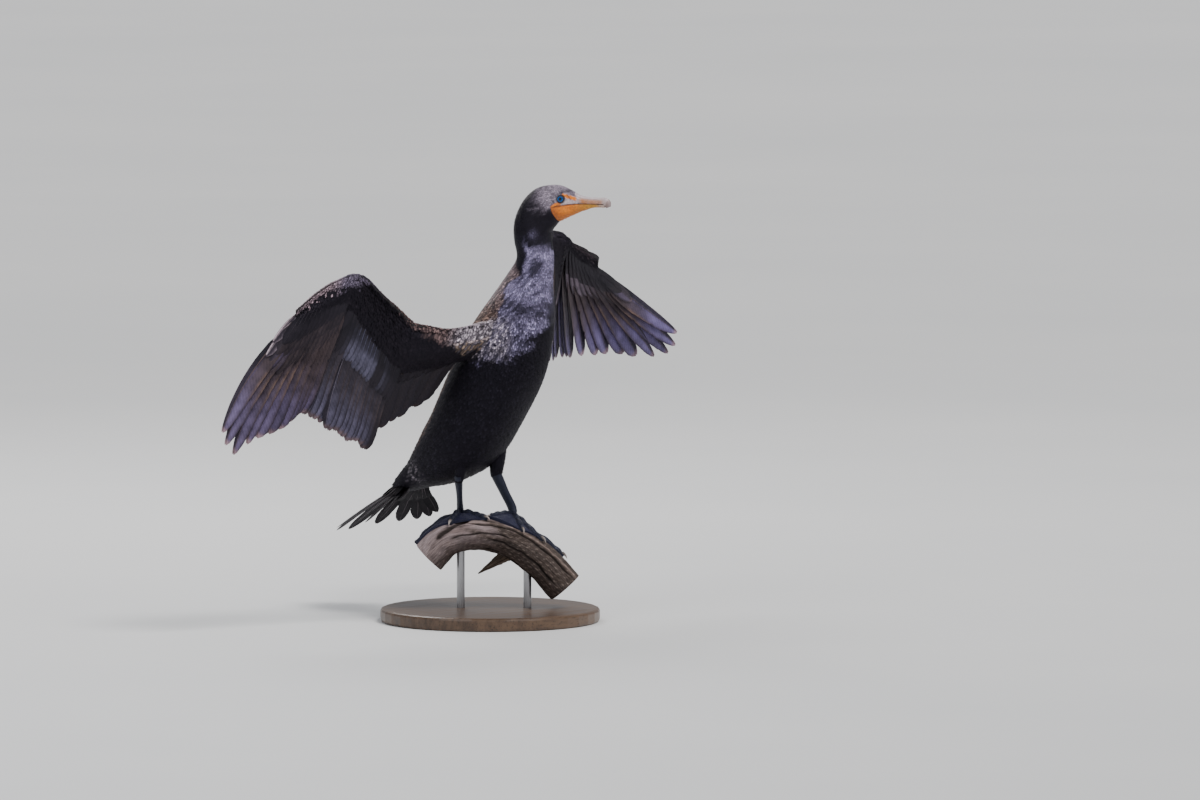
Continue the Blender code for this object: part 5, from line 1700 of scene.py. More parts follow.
def make_tail(finish):
    """Twelve stiff tail feathers spread as a drooping fan, with short coverts above and below."""
    rng = np.random.default_rng(51)
    back = np.array((0.0, math.cos(TAIL_PITCH), -math.sin(TAIL_PITCH)))
    dorsal = np.array((0.0, math.sin(TAIL_PITCH), math.cos(TAIL_PITCH)))
    plumes = Plumes(TAIL_PAIRS * 6)
    for side in (1, -1):
        for i in range(TAIL_PAIRS):
            share = (i + 0.35) / (TAIL_PAIRS - 0.65)
            spread = TAIL_SPREAD * share
            out = unit(side * math.cos(TAIL_DROOP) * ACROSS - math.sin(TAIL_DROOP) * dorsal * share)
            length = TAIL_LONGEST + (TAIL_SHORTEST - TAIL_LONGEST) * share**0.8
            root = np.array((side * 14 * share, -TAIL_START[0], TAIL_START[1])) - dorsal * 1.7 * i
            way = math.cos(spread) * back + math.sin(spread) * out
            normal = unit(dorsal + side * share * 0.62 * ACROSS)
            plumes.add(root, root + length * way, normal, 21, 0.42, TAIL_WIDTH, TAIL, rng, bow=0.015,
                       curve=0.02 * side, louvre=-6.4 * side, rows=36, thick=0.5)
            for sign, reach in ((1, 0.36), (-1, 0.42)):
                base = root + dorsal * sign * 6 - back * 6
                end = root + length * way * reach + normal * sign * (4.4 - 0.2 * i)
                plumes.add(base, end, normal, 17, 0.5, COVERT_WIDTH, TAIL, rng, bow=0.02 * sign,
                           louvre=-5 * side, camber=0.05 * sign, rows=14, half=3, thick=0.3)
    plumes.finish("tail_feathers", finish, replaces=("tail",))


# Bill and throat


HORN_PINK = np.array((0.62, 0.53, 0.565))
RIDGE_GREY = np.array((0.33, 0.28, 0.31))
HORN_ORANGE = (0.6, 0.2, 0.035)
HORN_BROWN = (0.2, 0.07, 0.04)
POUCH_ORANGE = np.array((0.84, 0.2, 0.004))
# The colour of the pouch's painted highlight.
POUCH_HIGHLIGHT = (1.0, 0.3, 0.008)
LOWER_YELLOW = (0.68, 0.31, 0.03)
LOWER_TIP_PINK = (0.6, 0.44, 0.36)
BILL_END = 0.03
MANDIBLE_SIDES = 40
# The lower mandible ends at this place forward, and lies this far under the mouth line.
LOWER_TIP = 203.2
MOUTH_GAP = 0.45


def mandible(body, first, upper):
    """Rings of the upper or lower mandible, cut flat along the mouth line."""
    rings = []
    sides = MANDIBLE_SIDES
    for row in range(first, body.rows):
        forward, height = body.forward[row], body.height[row]
        lift = height - mouth_height(forward)
        half = body.cols // 2
        arc = np.arange(half + 1)
        if upper:
            end = np.interp(0.0, -lift[arc], arc) if lift[half] < 0 else float(half)
            places = np.linspace(-end, end, sides)
        else:
            if lift[half] > -0.5 or forward[half] > LOWER_TIP:
                break
            end = np.interp(MOUTH_GAP, -lift[arc], arc)
            places = np.linspace(end, body.cols - end, sides)
        rings.append(body.at(np.full(sides, float(row)), places % body.cols))
    return np.array(rings)


def make_bill(body, finishes):
    """The horny upper mandible with its nasal groove and hook, and the lower one with the bare pouch."""
    first = BILL_ROOT_ROW - 4
    grid = mandible(body, first, True)
    rows, cols = grid.shape[:2]
    forward = body.forward[first : first + rows, 0][:, None] + np.zeros((1, cols))
    turns = np.linspace(-1, 1, cols)[None]
    groove = 0.75 * hump(np.abs(turns), 0.56, 0.07) * np.clip((204 - forward) / 14, 0, 1)
    plates = 0.16 * ripple(forward / 9, turns * 2.2, 61)
    root_sink = 0.9 * np.clip(1 - np.arange(rows) / 5, 0, 1)[:, None]
    grid = pushed(grid, -(groove + 0.1 - plates + root_sink))
    tip = np.clip((forward - 168) / 30, 0, 1)
    low = np.clip((np.abs(turns) - 0.4) / 0.3, 0, 1)
    paint = HORN_PINK * (1 - 0.25 * low[..., None]) * np.ones((rows, cols, 1))
    ridge = np.clip(1 - np.abs(turns) / 0.3, 0, 1)[..., None]
    paint = paint * (1 - ridge * 0.35) + RIDGE_GREY * ridge * 0.35
    blots = np.clip(ripple(forward / 5, turns * 6, 62) + 0.5 * ripple(forward / 2, turns * 14, 63), -1, 1)
    warm = low * rising(forward, 158, 170) * (1 - 0.8 * rising(forward, 196, 203))
    paint = over(paint, HORN_ORANGE, warm * (0.95 + 0.4 * blots))
    paint = over(paint, HORN_BROWN, 0.65 * warm * rising(blots, 0.05, 0.6))
    paint = over(paint, FACE_PINK, (1 - rising(forward, 156, 168)) * (1 - low))
    paint = over(paint, (0.6, 0.5, 0.47), 0.3 * tip)
    paint = over(paint, (0.05, 0.02, 0.015), (np.abs(turns) - 0.93) / 0.06 * (1 - rising(forward, 201, 203)))
    paint = over(paint, (0.22, 0.13, 0.11), 0.6 * rising(forward, 207.6, 209))
    round_piece("bill_upper_horn", grid, finishes["horn"], ("bill_upper",), paint, BILL_END,
                grain=(forward, turns * 14), mottle=low * (0.35 + 0.65 * tip))
    make_throat(body, finishes)


def make_throat(body, finishes):
    """The wrinkled, bare throat pouch, with painted shade and a painted highlight, which runs on as the
    lower mandible.
    """
    grid = mandible(body, THROAT_ROW, False)
    x, y = grid[..., 0], grid[..., 1] + NECK_AXIS_FORWARD
    forward = x * math.sin(HEAD_TURN) - y * math.cos(HEAD_TURN) + NECK_AXIS_FORWARD
    height = grid[..., 2]
    ahead = side_of(THROAT_EDGE, forward, height)
    sunk = 2.6 * np.clip(-ahead / 1.6 + 0.2, 0, 1)
    wrinkle = 0.28 * ripple(forward / 7, height / 3.4, 71) * np.clip((178 - forward) / 20, 0, 1)
    pleat = 0.22 * np.sin(height * 1.7 + forward * 0.35) * np.clip((160 - forward) / 15, 0, 1)
    grid = pushed(grid, -(sunk + 0.05 - wrinkle - pleat))
    under = mouth_height(forward) - height
    out = np.clip((forward - 150) / 32, 0, 1)
    paint = np.zeros(grid.shape) + POUCH_ORANGE
    paint = over(paint, LOWER_YELLOW, out)
    paint = over(paint, LOWER_TIP_PINK, rising(forward, 188, 199))
    # Painted shade: a dusky patch at the pouch's rear, a band along its rear edge, and darkening towards its
    # bottom.
    rear_shade = hump(forward, 132, 6.5) * hump(height, 461, 9)
    paint = over(paint, (0.36, 0.1, 0.012), 0.85 * rear_shade * (0.8 + 0.3 * ripple(forward / 5, height / 5, 73)))
    paint = over(paint, (0.33, 0.085, 0.012), 0.8 * hump(ahead, 1.2, 3.5) * (under > 3))
    paint = over(paint, (0.42, 0.13, 0.015), 0.6 * rising(under - 0.3 * (165 - forward).clip(0), 3, 12))
    # A painted highlight over the pouch's middle.
    bright = hump(forward, 145, 7) * hump(height, 468.5, 4)
    paint = over(paint, POUCH_HIGHLIGHT, 0.8 * bright)
    paint = over(paint, (0.2, 0.07, 0.02), 0.5 * out * rising(ripple(forward / 6, height / 2, 72), 0.2, 0.8))
    paint = over(paint, (0.03, 0.012, 0.01), (1.0 - under) * 1.6)
    replaced = ("bill_lower",)
    round_piece("bill_lower_and_throat", grid, finishes["throat"], replaced, paint, BILL_END)


# Eyes

EYE_OUT = 12.4
EYE_RADIUS = 5.3
LID_OUT = 16.2
LID_RADIUS = 4.9
LID_THICKNESS = 0.95
LID_BEADS = 22
# Degrees from the middle of the eye to the edges of its pupil and its iris.
PUPIL_EDGE = 28
IRIS_EDGE = 60
PUPIL_BLACK = 0.004
INNER_BLUE = np.array((0.0, 0.11, 0.5))
OUTER_BLUE = np.array((0.002, 0.27, 0.85))
EYE_DARK = np.array((0.01, 0.02, 0.03))
LID_DARK = np.array((0.008, 0.012, 0.03))
BEAD_BLUE = np.array((0.005, 0.17, 0.5))


def eye_axes(side):
    """The directions ahead and out of the head at an eye."""
    origin = turned(0.0, 0.0, 0.0, HEAD_TURN)
    ahead = turned(1.0, 0.0, 0.0, HEAD_TURN) - origin
    out = (turned(0.0, 1.0, 0.0, HEAD_TURN) - origin) * side
    return ahead, out


def make_eye(side, name, finishes):
    """An eyeball that bulges a little over its pupil, with a blue iris."""
    ahead, out = eye_axes(side)
    centre = turned(EYE[0], side * EYE_OUT, EYE[1], HEAD_TURN)
    polar = np.linspace(0.02, math.pi - 0.02, 30)
    turns = full_turn(48)
    round_out = out_of_round(turns, ahead, UP)
    radius = EYE_RADIUS + 0.35 * hump(polar, 0, 0.5)
    grid = centre + (np.cos(polar) * radius)[:, None, None] * out
    grid = grid + (np.sin(polar) * radius)[:, None, None] * round_out
    away = np.degrees(polar)[:, None] + np.zeros((1, len(turns)))
    pupil = np.clip((PUPIL_EDGE - away) / 2.5, 0, 1)[..., None]
    iris = np.clip((IRIS_EDGE - away) / 4, 0, 1)[..., None]
    outer = np.clip((away - PUPIL_EDGE) / 28, 0, 1)[..., None]
    blue = INNER_BLUE * (1 - outer) + OUTER_BLUE * outer
    paint = (blue * iris + EYE_DARK * (1 - iris)) * (1 - pupil) + PUPIL_BLACK * pupil
    grain = (np.cos(turns)[None] * 3, away / 20)
    round_piece(name + "_ball", grid, finishes["eye"], (name,), paint, PUPIL_BLACK, grain)
    make_lids(side, name, finishes, ahead, out)


def make_lids(side, name, finishes, ahead, out):
    """A ring of bare skin round the eye, beaded with blue on its inner rim."""
    centre = turned(EYE[0], side * LID_OUT, EYE[1], HEAD_TURN)
    turns, curls = full_turn(96), full_turn(12)
    round_out = out_of_round(turns, ahead, UP)
    beads = 0.5 + 0.5 * np.cos(turns * LID_BEADS)
    open_height = 1 - 0.1 * np.abs(np.sin(turns))
    inner = np.clip(-np.cos(curls), 0, 1)[None]
    thick = LID_THICKNESS * (1 + 0.22 * beads[:, None] * inner)
    reach = (LID_RADIUS * open_height)[:, None] + thick * np.cos(curls)[None] * 1.1
    lift = thick * np.sin(curls)[None] - 0.10 * (reach - LID_RADIUS)
    grid = centre + reach[..., None] * round_out[:, None] + lift[..., None] * out
    rows, cols = grid.shape[:2]
    quads = grid_faces(rows, cols, True)
    j = np.arange(cols)
    last = np.stack((j, (j + 1) % cols), axis=1) + (rows - 1) * cols
    joint = np.concatenate((last, last[:, ::-1] % cols), axis=1)
    dots = (beads[:, None] * np.clip(inner * 1.6, 0, 1))[..., None]
    paint = LID_DARK * (1 - dots) + BEAD_BLUE * dots
    piece(name + "_lids", grid, [quads, joint], finishes["lid"], paint=paint.reshape(-1, 3))


# Perch, as the solid has it, with cracks and grain cut into it.

PERCH_SPINE = (
    (-92, -60),
    (-69, -37),
    (-45, -28),
    (-18, -25),
    (9, -28),
    (33, -37),
    (60, -53),
    (84, -74),
    (112, -106),
)
PERCH_HALF_HEIGHT = (26, 27, 25.5, 24.5, 24.5, 25.5, 27, 28.5, 29)
PERCH_HALF_DEPTH = 36
PERCH_BUMP = 1.1
PERCH_ROWS = 300
PERCH_COLS = 168
SPINE_STEPS = 401
# The radius by which the grain is laid round the perch, and the rings of each cut end.
GRAIN_RADIUS = 31
CAP_RINGS = 14
SILVER_WOOD = np.array((0.46, 0.375, 0.385))
DARK_WOOD = np.array((0.078, 0.06, 0.054))
WOOD_FLECK = np.array((0.2, 0.17, 0.15))
WOOD_LIP = np.array((0.12, 0.09, 0.08))
# The colour of painted shade in cracks and grooves.
CRACK_SHADE = np.array((0.018, 0.012, 0.01))
CUT_WOOD = np.array((0.3, 0.22, 0.17))
CUT_MIDDLE = (0.1, 0.07, 0.05)
# A crack runs from share and angle to share and angle, with its half width in degrees and its depth.
CRACKS = (
    ((0.1, 62), (0.34, 18), 7, 5.0),
    ((0.3, 38), (1.0, 46), 4, 4.5),
    ((0.16, 84), (0.6, 74), 3, 2.2),
    ((0.45, 98), (0.98, 104), 3.5, 2.6),
    ((0.55, -28), (1.0, -34), 6, 6.0),
    ((0.02, -60), (0.5, -74), 4, 3.0),
    ((0.4, 150), (0.9, 160), 4, 3.0),
    ((0.05, -130), (0.8, -142), 4, 3.0),
)


def perch_frame(share):
    """Centre, half height and up direction of the perch's section at a share of its length."""
    rows = [(*place, half) for place, half in zip(PERCH_SPINE, PERCH_HALF_HEIGHT)]
    along, height, half = at(rows, share)
    ahead = at(rows, share + 0.004) - at(rows, share - 0.004)
    tangent = unit(ahead[0] * RIGHT + ahead[1] * UP)
    out = unit(UP - tangent * float(tangent @ UP))
    return along * RIGHT + height * UP, half, out, tangent


def spine_lengths():
    """Steps along the perch's middle line: their shares, their places and their distances from its start."""
    spine = through(PERCH_SPINE, SPINE_STEPS)
    steps = np.linalg.norm(np.diff(spine, axis=0), axis=1)
    return np.linspace(0, 1, SPINE_STEPS), spine, np.concatenate(((0,), np.cumsum(steps)))


def perch_bump(share, angle):
    """How far the section stands out of its plain oval."""
    rest = np.maximum(0.0, -np.cos(angle)) + 0.35 * np.abs(np.sin(angle))
    wave = np.sin(3 * angle + 9 * share) + 0.6 * np.sin(5 * angle - 17 * share)
    return PERCH_BUMP * rest * wave


def perch_point(share, angle, above=0.0):
    """A point over the perch's surface. Angle 0 is the top, and positive angles turn to its near side."""
    centre, half, out, _ = perch_frame(share)
    bump = perch_bump(share, angle)
    high = (half + bump) * np.cos(angle)
    wide = (PERCH_HALF_DEPTH + bump) * np.sin(angle)
    slopes = np.broadcast_arrays(np.cos(angle) / half, np.sin(angle) / PERCH_HALF_DEPTH)
    lift = unit(np.stack(slopes, axis=-1))
    high = high + above * lift[..., 0]
    wide = wide + above * lift[..., 1]
    return centre + high[..., None] * out + wide[..., None] * NEAR


def crack_depth(share, degrees):
    """How deep the cracks cut at a place."""
    total = np.zeros_like(degrees)
    for (s0, a0), (s1, a1), half, depth in CRACKS:
        t = (share - s0) / (s1 - s0)
        inside = np.clip(np.minimum(t, 1 - t) * 9 + 0.02, 0, 1)
        wander = 1.8 * np.sin(share * 17 + a0) + 1.3 * np.sin(share * 47 + a1)
        line = a0 + (a1 - a0) * t + wander
        off = (degrees - line + 180) % 360 - 180
        width = half * (0.35 + 0.65 * inside)
        total = np.maximum(total, depth * inside * np.exp(-np.abs(off / width) ** 1.6))
    return total


def cut_end(end, rim, angles, start, total):
    """A rough, sunken cut over one end of the perch: its points, faces, colours and grain."""
    centre, _, _, tangent = perch_frame(end)
    way_out = tangent * (1 if end else -1)
    rings = []
    for k in range(1, CAP_RINGS + 1):
        share = 1 - k / (CAP_RINGS + 1)
        rough = 1.3 * ripple(angles * 3 * share, np.full_like(angles, share * 4), 91 + end)
        rings.append(centre + (rim - centre) * share + way_out * (rough - 2.2)[:, None] * min(1.0, k / 2))
    bands = 0.75 + 0.25 * np.sin(np.linspace(1, 0, CAP_RINGS) * 60)[:, None, None]
    paint = CUT_WOOD * bands * np.ones((CAP_RINGS, PERCH_COLS, 1))
    grain = np.stack(np.meshgrid(angles * 4, np.linspace(CAP_RINGS, 0, CAP_RINGS)), axis=-1)
    hub = total + CAP_RINGS * PERCH_COLS
    j = np.arange(PERCH_COLS)
    k = (j + 1) % PERCH_COLS
    join = np.stack((start + k, start + j, total + j, total + k), axis=1)
    caps = grid_faces(CAP_RINGS, PERCH_COLS, True, total)[:, ::-1]
    fan = np.stack((hub - PERCH_COLS + k, hub - PERCH_COLS + j, np.full(PERCH_COLS, hub)), axis=1)
    faces = [join, caps, fan]
    return (
        np.concatenate((*rings, rings[-1].mean(axis=0)[None])),
        [block[:, ::-1] for block in faces] if end else faces,
        np.concatenate((paint.reshape(-1, 3), (CUT_MIDDLE,))),
        np.concatenate((grain.reshape(-1, 2), ((0, 0),))),
    )


def perch_tone(share, length, around, degrees):
    """The wood's colour at a section: silvery at the left, darker and flecked towards the right."""
    pale = np.clip(1 - (share - 0.28) / 0.3 + 0.35 * ripple(length / 40, around / 25, 84), 0, 1)[:, None]
    pale = pale * np.clip(1.2 - np.abs(degrees + 10) / 150, 0.15, 1)[:, None]
    tone = SILVER_WOOD * pale + DARK_WOOD * (1 - pale)
    flecks = np.clip(ripple(length / 9, around / 4, 85) - 0.45, 0, 1)[:, None] * (1 - pale)
    tone = tone + WOOD_FLECK * flecks
    lip = hump(degrees - 1.8 * math.sin(share * 17 + 38), 33, 5)[:, None] * (share > 0.3)
    return tone + WOOD_LIP * lip


def make_perch(finish):
    """The cut length of driftwood, ridged along its grain, with its cracks and its two cut ends."""
    angles = np.linspace(-math.pi, math.pi, PERCH_COLS, endpoint=False)
    degrees = np.degrees(angles)
    around = angles * GRAIN_RADIUS
    feet = np.clip(np.cos(angles), 0, 1) ** 0.5
    shares, _, lengths = spine_lengths()
    grid, paint, grain = [], [], []
    for share in np.linspace(0, 1, PERCH_ROWS):
        length = float(np.interp(share, shares, lengths))
        deep = crack_depth(share, degrees)
        ridges = 0.42 * np.abs(ripple(length / 70, around / 5.5, 81, 5))
        ridges = ridges + 0.28 * np.abs(ripple(length / 34, around / 2.6, 82, 4))
        knots = 0.8 * ripple(length / 46, around / 30, 83, 3)
        swell = np.minimum(knots - 0.7, 0.3) * (1 - 0.6 * feet)
        grid.append(perch_point(share, angles, swell - ridges - deep - 0.15))
        # Painted shade, darker the deeper the cracks and grooves cut.
        dark = np.clip(deep / 2.2 + ridges * 0.35, 0, 0.93)[:, None]
        tone = perch_tone(share, length, around, degrees)
        paint.append(tone * (1 - dark) + CRACK_SHADE * dark)
        grain.append(np.stack((np.full(PERCH_COLS, length), around), axis=1))
    parts = [(np.concatenate(grid), [grid_faces(PERCH_ROWS, PERCH_COLS, True)], np.concatenate(paint),
              np.concatenate(grain))]
    total = PERCH_ROWS * PERCH_COLS
    for end, start in ((0, 0), (1, total - PERCH_COLS)):
        parts.append(cut_end(end, grid[-end], angles, start, total))
        total += CAP_RINGS * PERCH_COLS + 1
    points, faces, paint, grain = zip(*parts)
    maps = {"Grain": np.concatenate(grain)}
    piece("driftwood_perch", np.concatenate(points), sum(faces, []), finish, ("perch_branch",),
          maps, np.concatenate(paint))


SHOOT_ROOT = 40 * RIGHT - 46 * UP
SHOOT_TIP = -18 * RIGHT - 84 * UP + 6 * NEAR
SHOOT_RADII = (12.4, 0.8)
SHOOT_BROWN = np.array((0.14, 0.105, 0.08))


def make_shoot(finish):
    """The broken side shoot under the perch, splintered towards its tip."""
    rows, cols = 40, 28
    axis = unit(SHOOT_TIP - SHOOT_ROOT)
    side = unit(np.cross(axis, NEAR))
    shares = np.linspace(0, 1, rows)[:, None]
    turns = full_turn(cols)[None]
    ridges = 1 + 0.16 * ripple(shares * 3, turns * 1.6, 95) + 0.1 * np.cos(turns * 7 + shares * 3)
    radius = (SHOOT_RADII[0] + (SHOOT_RADII[1] - SHOOT_RADII[0]) * shares) * ridges
    grid = SHOOT_ROOT + (SHOOT_TIP - SHOOT_ROOT) * shares[..., None]
    grid = grid + radius[..., None] * out_of_round(turns, side, NEAR)
    # Painted shade: darker in the grooves between the ridges.
    tone = SHOOT_BROWN * (0.8 + 0.3 * np.cos(turns * 7 + shares * 3))[..., None]
    round_piece("driftwood_shoot", grid, finish, paint=tone, end=0.05,
                grain=(shares * 70, turns * 8))


# Legs and feet

# Heels and thigh tops are across, back and height. Ankles stand at a place along the perch, and over it.
HEELS = {"left": (26, 13, 62), "right": (-28.5, 38.5, 55)}
ANKLE_PLACES = {"left": 19, "right": -39}
ANKLE_HEIGHT = {"left": 24, "right": 20}
# Each toe's angle on the perch in degrees, its length with the claw, and its half width.
TOES = {
    "left": ((4, 92, 4.2), (34, 66, 4.2), (62, 50, 3.8), (140, 38, 3.2)),
    "right": ((166, 78, 4.2), (108, 54, 4.2), (50, 56, 3.8), (12, 50, 3.2)),
}
# How far behind the perch's top the toes meet, and how high the foot arches there.
FOOT_BACK = {"left": 20, "right": 26}
FOOT_ARCH = {"left": 15, "right": 12}
FOOT_ARCH_REACH = 42
FOOT_LIFT = 1.0
FOOT_SINK = 0.9
WEB_LIFT = 1.2
WEB_THICKNESS = 0.9
WEB_REACH = 0.84
# Half widths fore and aft, and across, from the foot up.
SHIN_RADII = {"left": (7.6, 8.4, 9.5), "right": (5.6, 5.4, 6.8)}
SHIN_WIDTHS = {"left": (5.0, 5.0, 6.6), "right": (4.2, 3.9, 5.6)}
THIGH_TOPS = {"left": (27, 18, 124), "right": (-22, 34, 118)}
KNEE_AHEAD = (0, -3, 0)
THIGH_RADII = {"left": (10, 15, 22), "right": (7.6, 10.5, 13)}
THIGH_WIDTHS = {"left": (7.4, 13, 18), "right": (6.6, 9.5, 12)}
SHANK_ROWS = 90
SHANK_SIDES = 36
THIGH_ROWS = 40
THIGH_SIDES = 48
CLAW_LENGTH = 11
TOE_COLUMNS = (-1.0, -0.8, -0.55, -0.28, 0.0, 0.28, 0.55, 0.8, 1.0)
FOOT_ROWS = 40
LEG_BLACK = (0.007, 0.008, 0.019)
TOE_BLACK = np.array((0.009, 0.0095, 0.021))
WEB_BLACK = np.array((0.014, 0.014, 0.037))
CLAW_ROOT = np.array((0.05, 0.04, 0.04))
CLAW_TIP = np.array((0.42, 0.36, 0.33))


def perch_turn(share, across):
    """The angle round the perch at a distance over its surface from the top, towards its near side."""
    step = math.radians(3)
    angles = np.arange(-50, 51) * step
    half = perch_frame(share)[1]
    steps = np.hypot(PERCH_HALF_DEPTH * np.cos(angles[:-1]), half * np.sin(angles[:-1])) * step
    around = np.concatenate(((0.0,), np.cumsum(steps)))
    return float(np.interp(across, around - np.interp(0.0, angles, around), angles))


def foot_start(name):
    """The share of the perch's length at which a foot stands."""
    shares, spine, _ = spine_lengths()
    return float(np.interp(ANKLE_PLACES[name], spine[:, 0], shares))


def wrap(flat, name):
    """Bends points drawn flat onto the perch: x along it, y across it, z above it."""
    shares, _, lengths = spine_lengths()
    begin = np.interp(foot_start(name), shares, lengths)
    found = []
    for x, y, z in flat.reshape(-1, 3):
        share = float(np.interp(begin + x, lengths, shares))
        found.append(perch_point(share, np.array(perch_turn(share, y - FOOT_BACK[name])), z))
    return np.array(found).reshape(flat.shape)


def foot_sheets(name):
    """Upper and under sides of a webbed foot drawn flat, with rounded, knuckled toes and thin webs."""
    toes = TOES[name]
    turn = 1 if toes[-1][0] > toes[0][0] else -1
    shares = np.linspace(0.04, 1, FOOT_ROWS)
    columns = []
    for i, (angle, length, radius) in enumerate(toes):
        if i:
            before, other, _ = toes[i - 1]
            steps = max(4, int(abs(angle - before) / 3))
            for step in range(1, steps):
                t = step / steps
                dip = 1 - 0.32 * math.sin(math.pi * t) ** 0.8
                reach = WEB_REACH * (other + (length - other) * t) * (0.72 + 0.28 * dip)
                columns.append((math.radians(before + (angle - before) * t), reach, 0.0, 0.0, t))
        for spot in TOE_COLUMNS:
            columns.append((math.radians(angle), length - CLAW_LENGTH * 0.55, radius, spot * turn, 0.0))
    upper, under, tone = [], [], []
    for angle, length, radius, spot, t in columns:
        way = np.array((math.cos(angle), math.sin(angle), 0.0))
        side = np.array((-way[1], way[0], 0.0))
        reach = length * shares
        knuckles = 1 + 0.17 * np.cos(shares * 2 * math.pi * 3.2) + 0.03 * np.cos(shares * length * 2.4)
        fat = radius * knuckles * np.clip((1.03 - shares) * 7, 0.35, 1) * (1.2 - 0.35 * shares)
        crowd = 0.2 * reach + 0.8
        half = np.minimum(fat, crowd)
        rise = FOOT_ARCH[name] * np.maximum(0.0, 1 - reach / FOOT_ARCH_REACH) ** 1.5
        if radius:
            ridge = 1.35 * fat * math.sqrt(max(0.0, 1 - spot * spot))
            level = FOOT_LIFT + rise
            thick = WEB_THICKNESS + ridge
        else:
            fold = 0.5 * np.sin(t * math.pi * 3) * np.sin(math.pi * shares)
            level = FOOT_LIFT + rise + WEB_LIFT * math.sin(math.pi * t) * shares + fold * 0.6
            thick = WEB_THICKNESS * (1.1 - 0.5 * shares)
        flat = way * reach[:, None] + side * (half * spot)[:, None]
        under.append(flat - UP * FOOT_SINK)
        upper.append(flat + UP * np.broadcast_to(level + thick, reach.shape)[:, None])
        tone.append(np.full(FOOT_ROWS, 1.0 if radius else 0.0))
    return np.array(upper), np.array(under), np.array(tone)


def make_foot(name, finishes):
    """One webbed foot bent onto the perch, with its claws."""
    upper, under, tone = foot_sheets(name)
    columns, rows = upper.shape[:2]
    ring = np.concatenate((upper, under[:, ::-1]), axis=1)
    grid = wrap(ring, name)
    verts, faces = grid.reshape(-1, 3), [grid_faces(columns, 2 * rows, True)]
    j = np.arange(rows - 1)
    low = np.stack((j, j + 1, 2 * rows - 2 - j, 2 * rows - 1 - j), axis=1)
    faces += [low, low[:, ::-1] + (columns - 1) * 2 * rows]
    toe = np.concatenate((tone, tone[:, ::-1]), axis=1)[..., None]
    paint = TOE_BLACK * toe + WEB_BLACK * (1 - toe)
    piece(f"foot_{name}_webbed", verts, faces, finishes["leg"], (f"foot_{name}",),
          paint=paint.reshape(-1, 3), sharp=70)
    for i, (angle, length, radius) in enumerate(TOES[name]):
        make_claw(f"claw_{name}_{i}", name, math.radians(angle), length, radius, finishes["claw"])


def make_claw(label, name, angle, length, radius, finish):
    """A curved horn claw at a toe's end, drawn flat and bent onto the perch."""
    rows, cols = 16, 12
    way = np.array((math.cos(angle), math.sin(angle), 0.0))
    side = np.array((-way[1], way[0], 0.0))
    shares = np.linspace(0, 1, rows)
    reach = length - CLAW_LENGTH + CLAW_LENGTH * shares
    height = FOOT_LIFT + radius * 0.75 + 1.9 * np.sin(shares * math.pi * 0.75) - 2.2 * shares**2
    thick = radius * 0.52 * (1 - shares) ** 0.75 + 0.14
    middle = way * reach[:, None] + UP * height[:, None]
    ring = out_of_round(full_turn(cols), side, UP * 1.2)
    grid = wrap(middle[:, None] + ring * thick[:, None, None], name)
    fade = shares[:, None, None] * np.ones((1, cols, 1))
    paint = CLAW_ROOT * (1 - fade) + CLAW_TIP * fade
    round_piece(label, grid, finish, paint=paint, end=0.2)


def limb_grid(points, radii, widths, count, sides, first_axis=None):
    """A tapered limb's rings, with half widths fore and aft and across."""
    rows = through([(*p, r, w) for p, r, w in zip(points, radii, widths)], count)
    ahead = np.gradient(rows[:, :3], axis=0)
    if first_axis is not None:
        ahead[0] = first_axis
    axis = unit(ahead)
    across = unit(ACROSS - axis * axis[:, :1])
    fore = np.cross(axis, across)
    turns = full_turn(sides)
    deep = (rows[:, 3, None] * np.sin(turns))[..., None] * fore[:, None]
    wide = (rows[:, 4, None] * np.cos(turns))[..., None] * across[:, None]
    return rows[:, None, :3] + deep + wide


def leg_places(name):
    """Where a foot stands along and round the perch, its heel, its ankle, and the shin's direction."""
    start = foot_start(name)
    heel = np.array(HEELS[name], float)
    back = np.array(perch_turn(start, -FOOT_BACK[name]))
    ankle = perch_point(start, back, np.array(float(ANKLE_HEIGHT[name])))
    return start, heel, back, ankle, unit(heel - ankle)


def make_shank(name, finishes):
    """Foot root and shank as one smooth blade, with scutes down its front."""
    start, heel, back, ankle, shin = leg_places(name)
    low = perch_point(start, back, np.array(FOOT_ARCH[name] * 0.55))
    deep, wide = SHIN_RADII[name], SHIN_WIDTHS[name]
    top = heel + shin * 9
    points = (low, ankle, ankle + (heel - ankle) * 0.5, heel, top)
    radii = (deep[0] * 0.95, deep[0], deep[1], deep[2], deep[2] * 0.8)
    widths = (wide[0] * 1.2, wide[0] * 1.1, wide[1], wide[2], wide[2] * 0.8)
    grid = limb_grid(points, radii, widths, SHANK_ROWS, SHANK_SIDES)
    rings = np.arange(SHANK_ROWS)[:, None]
    front = np.clip(-np.sin(np.linspace(0, 2 * math.pi, SHANK_SIDES))[None] + 0.3, 0, 1)
    scutes = 0.12 * np.abs(np.sin(rings * 0.55)) * front
    folds = 0.3 * hump((rings - 22) % 6, 3, 1.4) * hump(rings, 22, 9)
    grid = pushed(grid, scutes + folds)
    nodes = (f"tarsus_{name}",)
    round_piece(f"shank_{name}", grid, finishes["leg"], nodes, LEG_BLACK, LEG_BLACK, sharp=70)


def thigh_surface(name):
    """The plain form of a thigh, from the heel up into the body."""
    _, heel, _, _, shin = leg_places(name)
    crown = np.array(THIGH_TOPS[name], float)
    knee = (heel + crown) / 2 + KNEE_AHEAD
    places = (heel, knee, crown)
    grid = limb_grid(places, THIGH_RADII[name], THIGH_WIDTHS[name], THIGH_ROWS, THIGH_SIDES, shin)
    return Surface(grid)


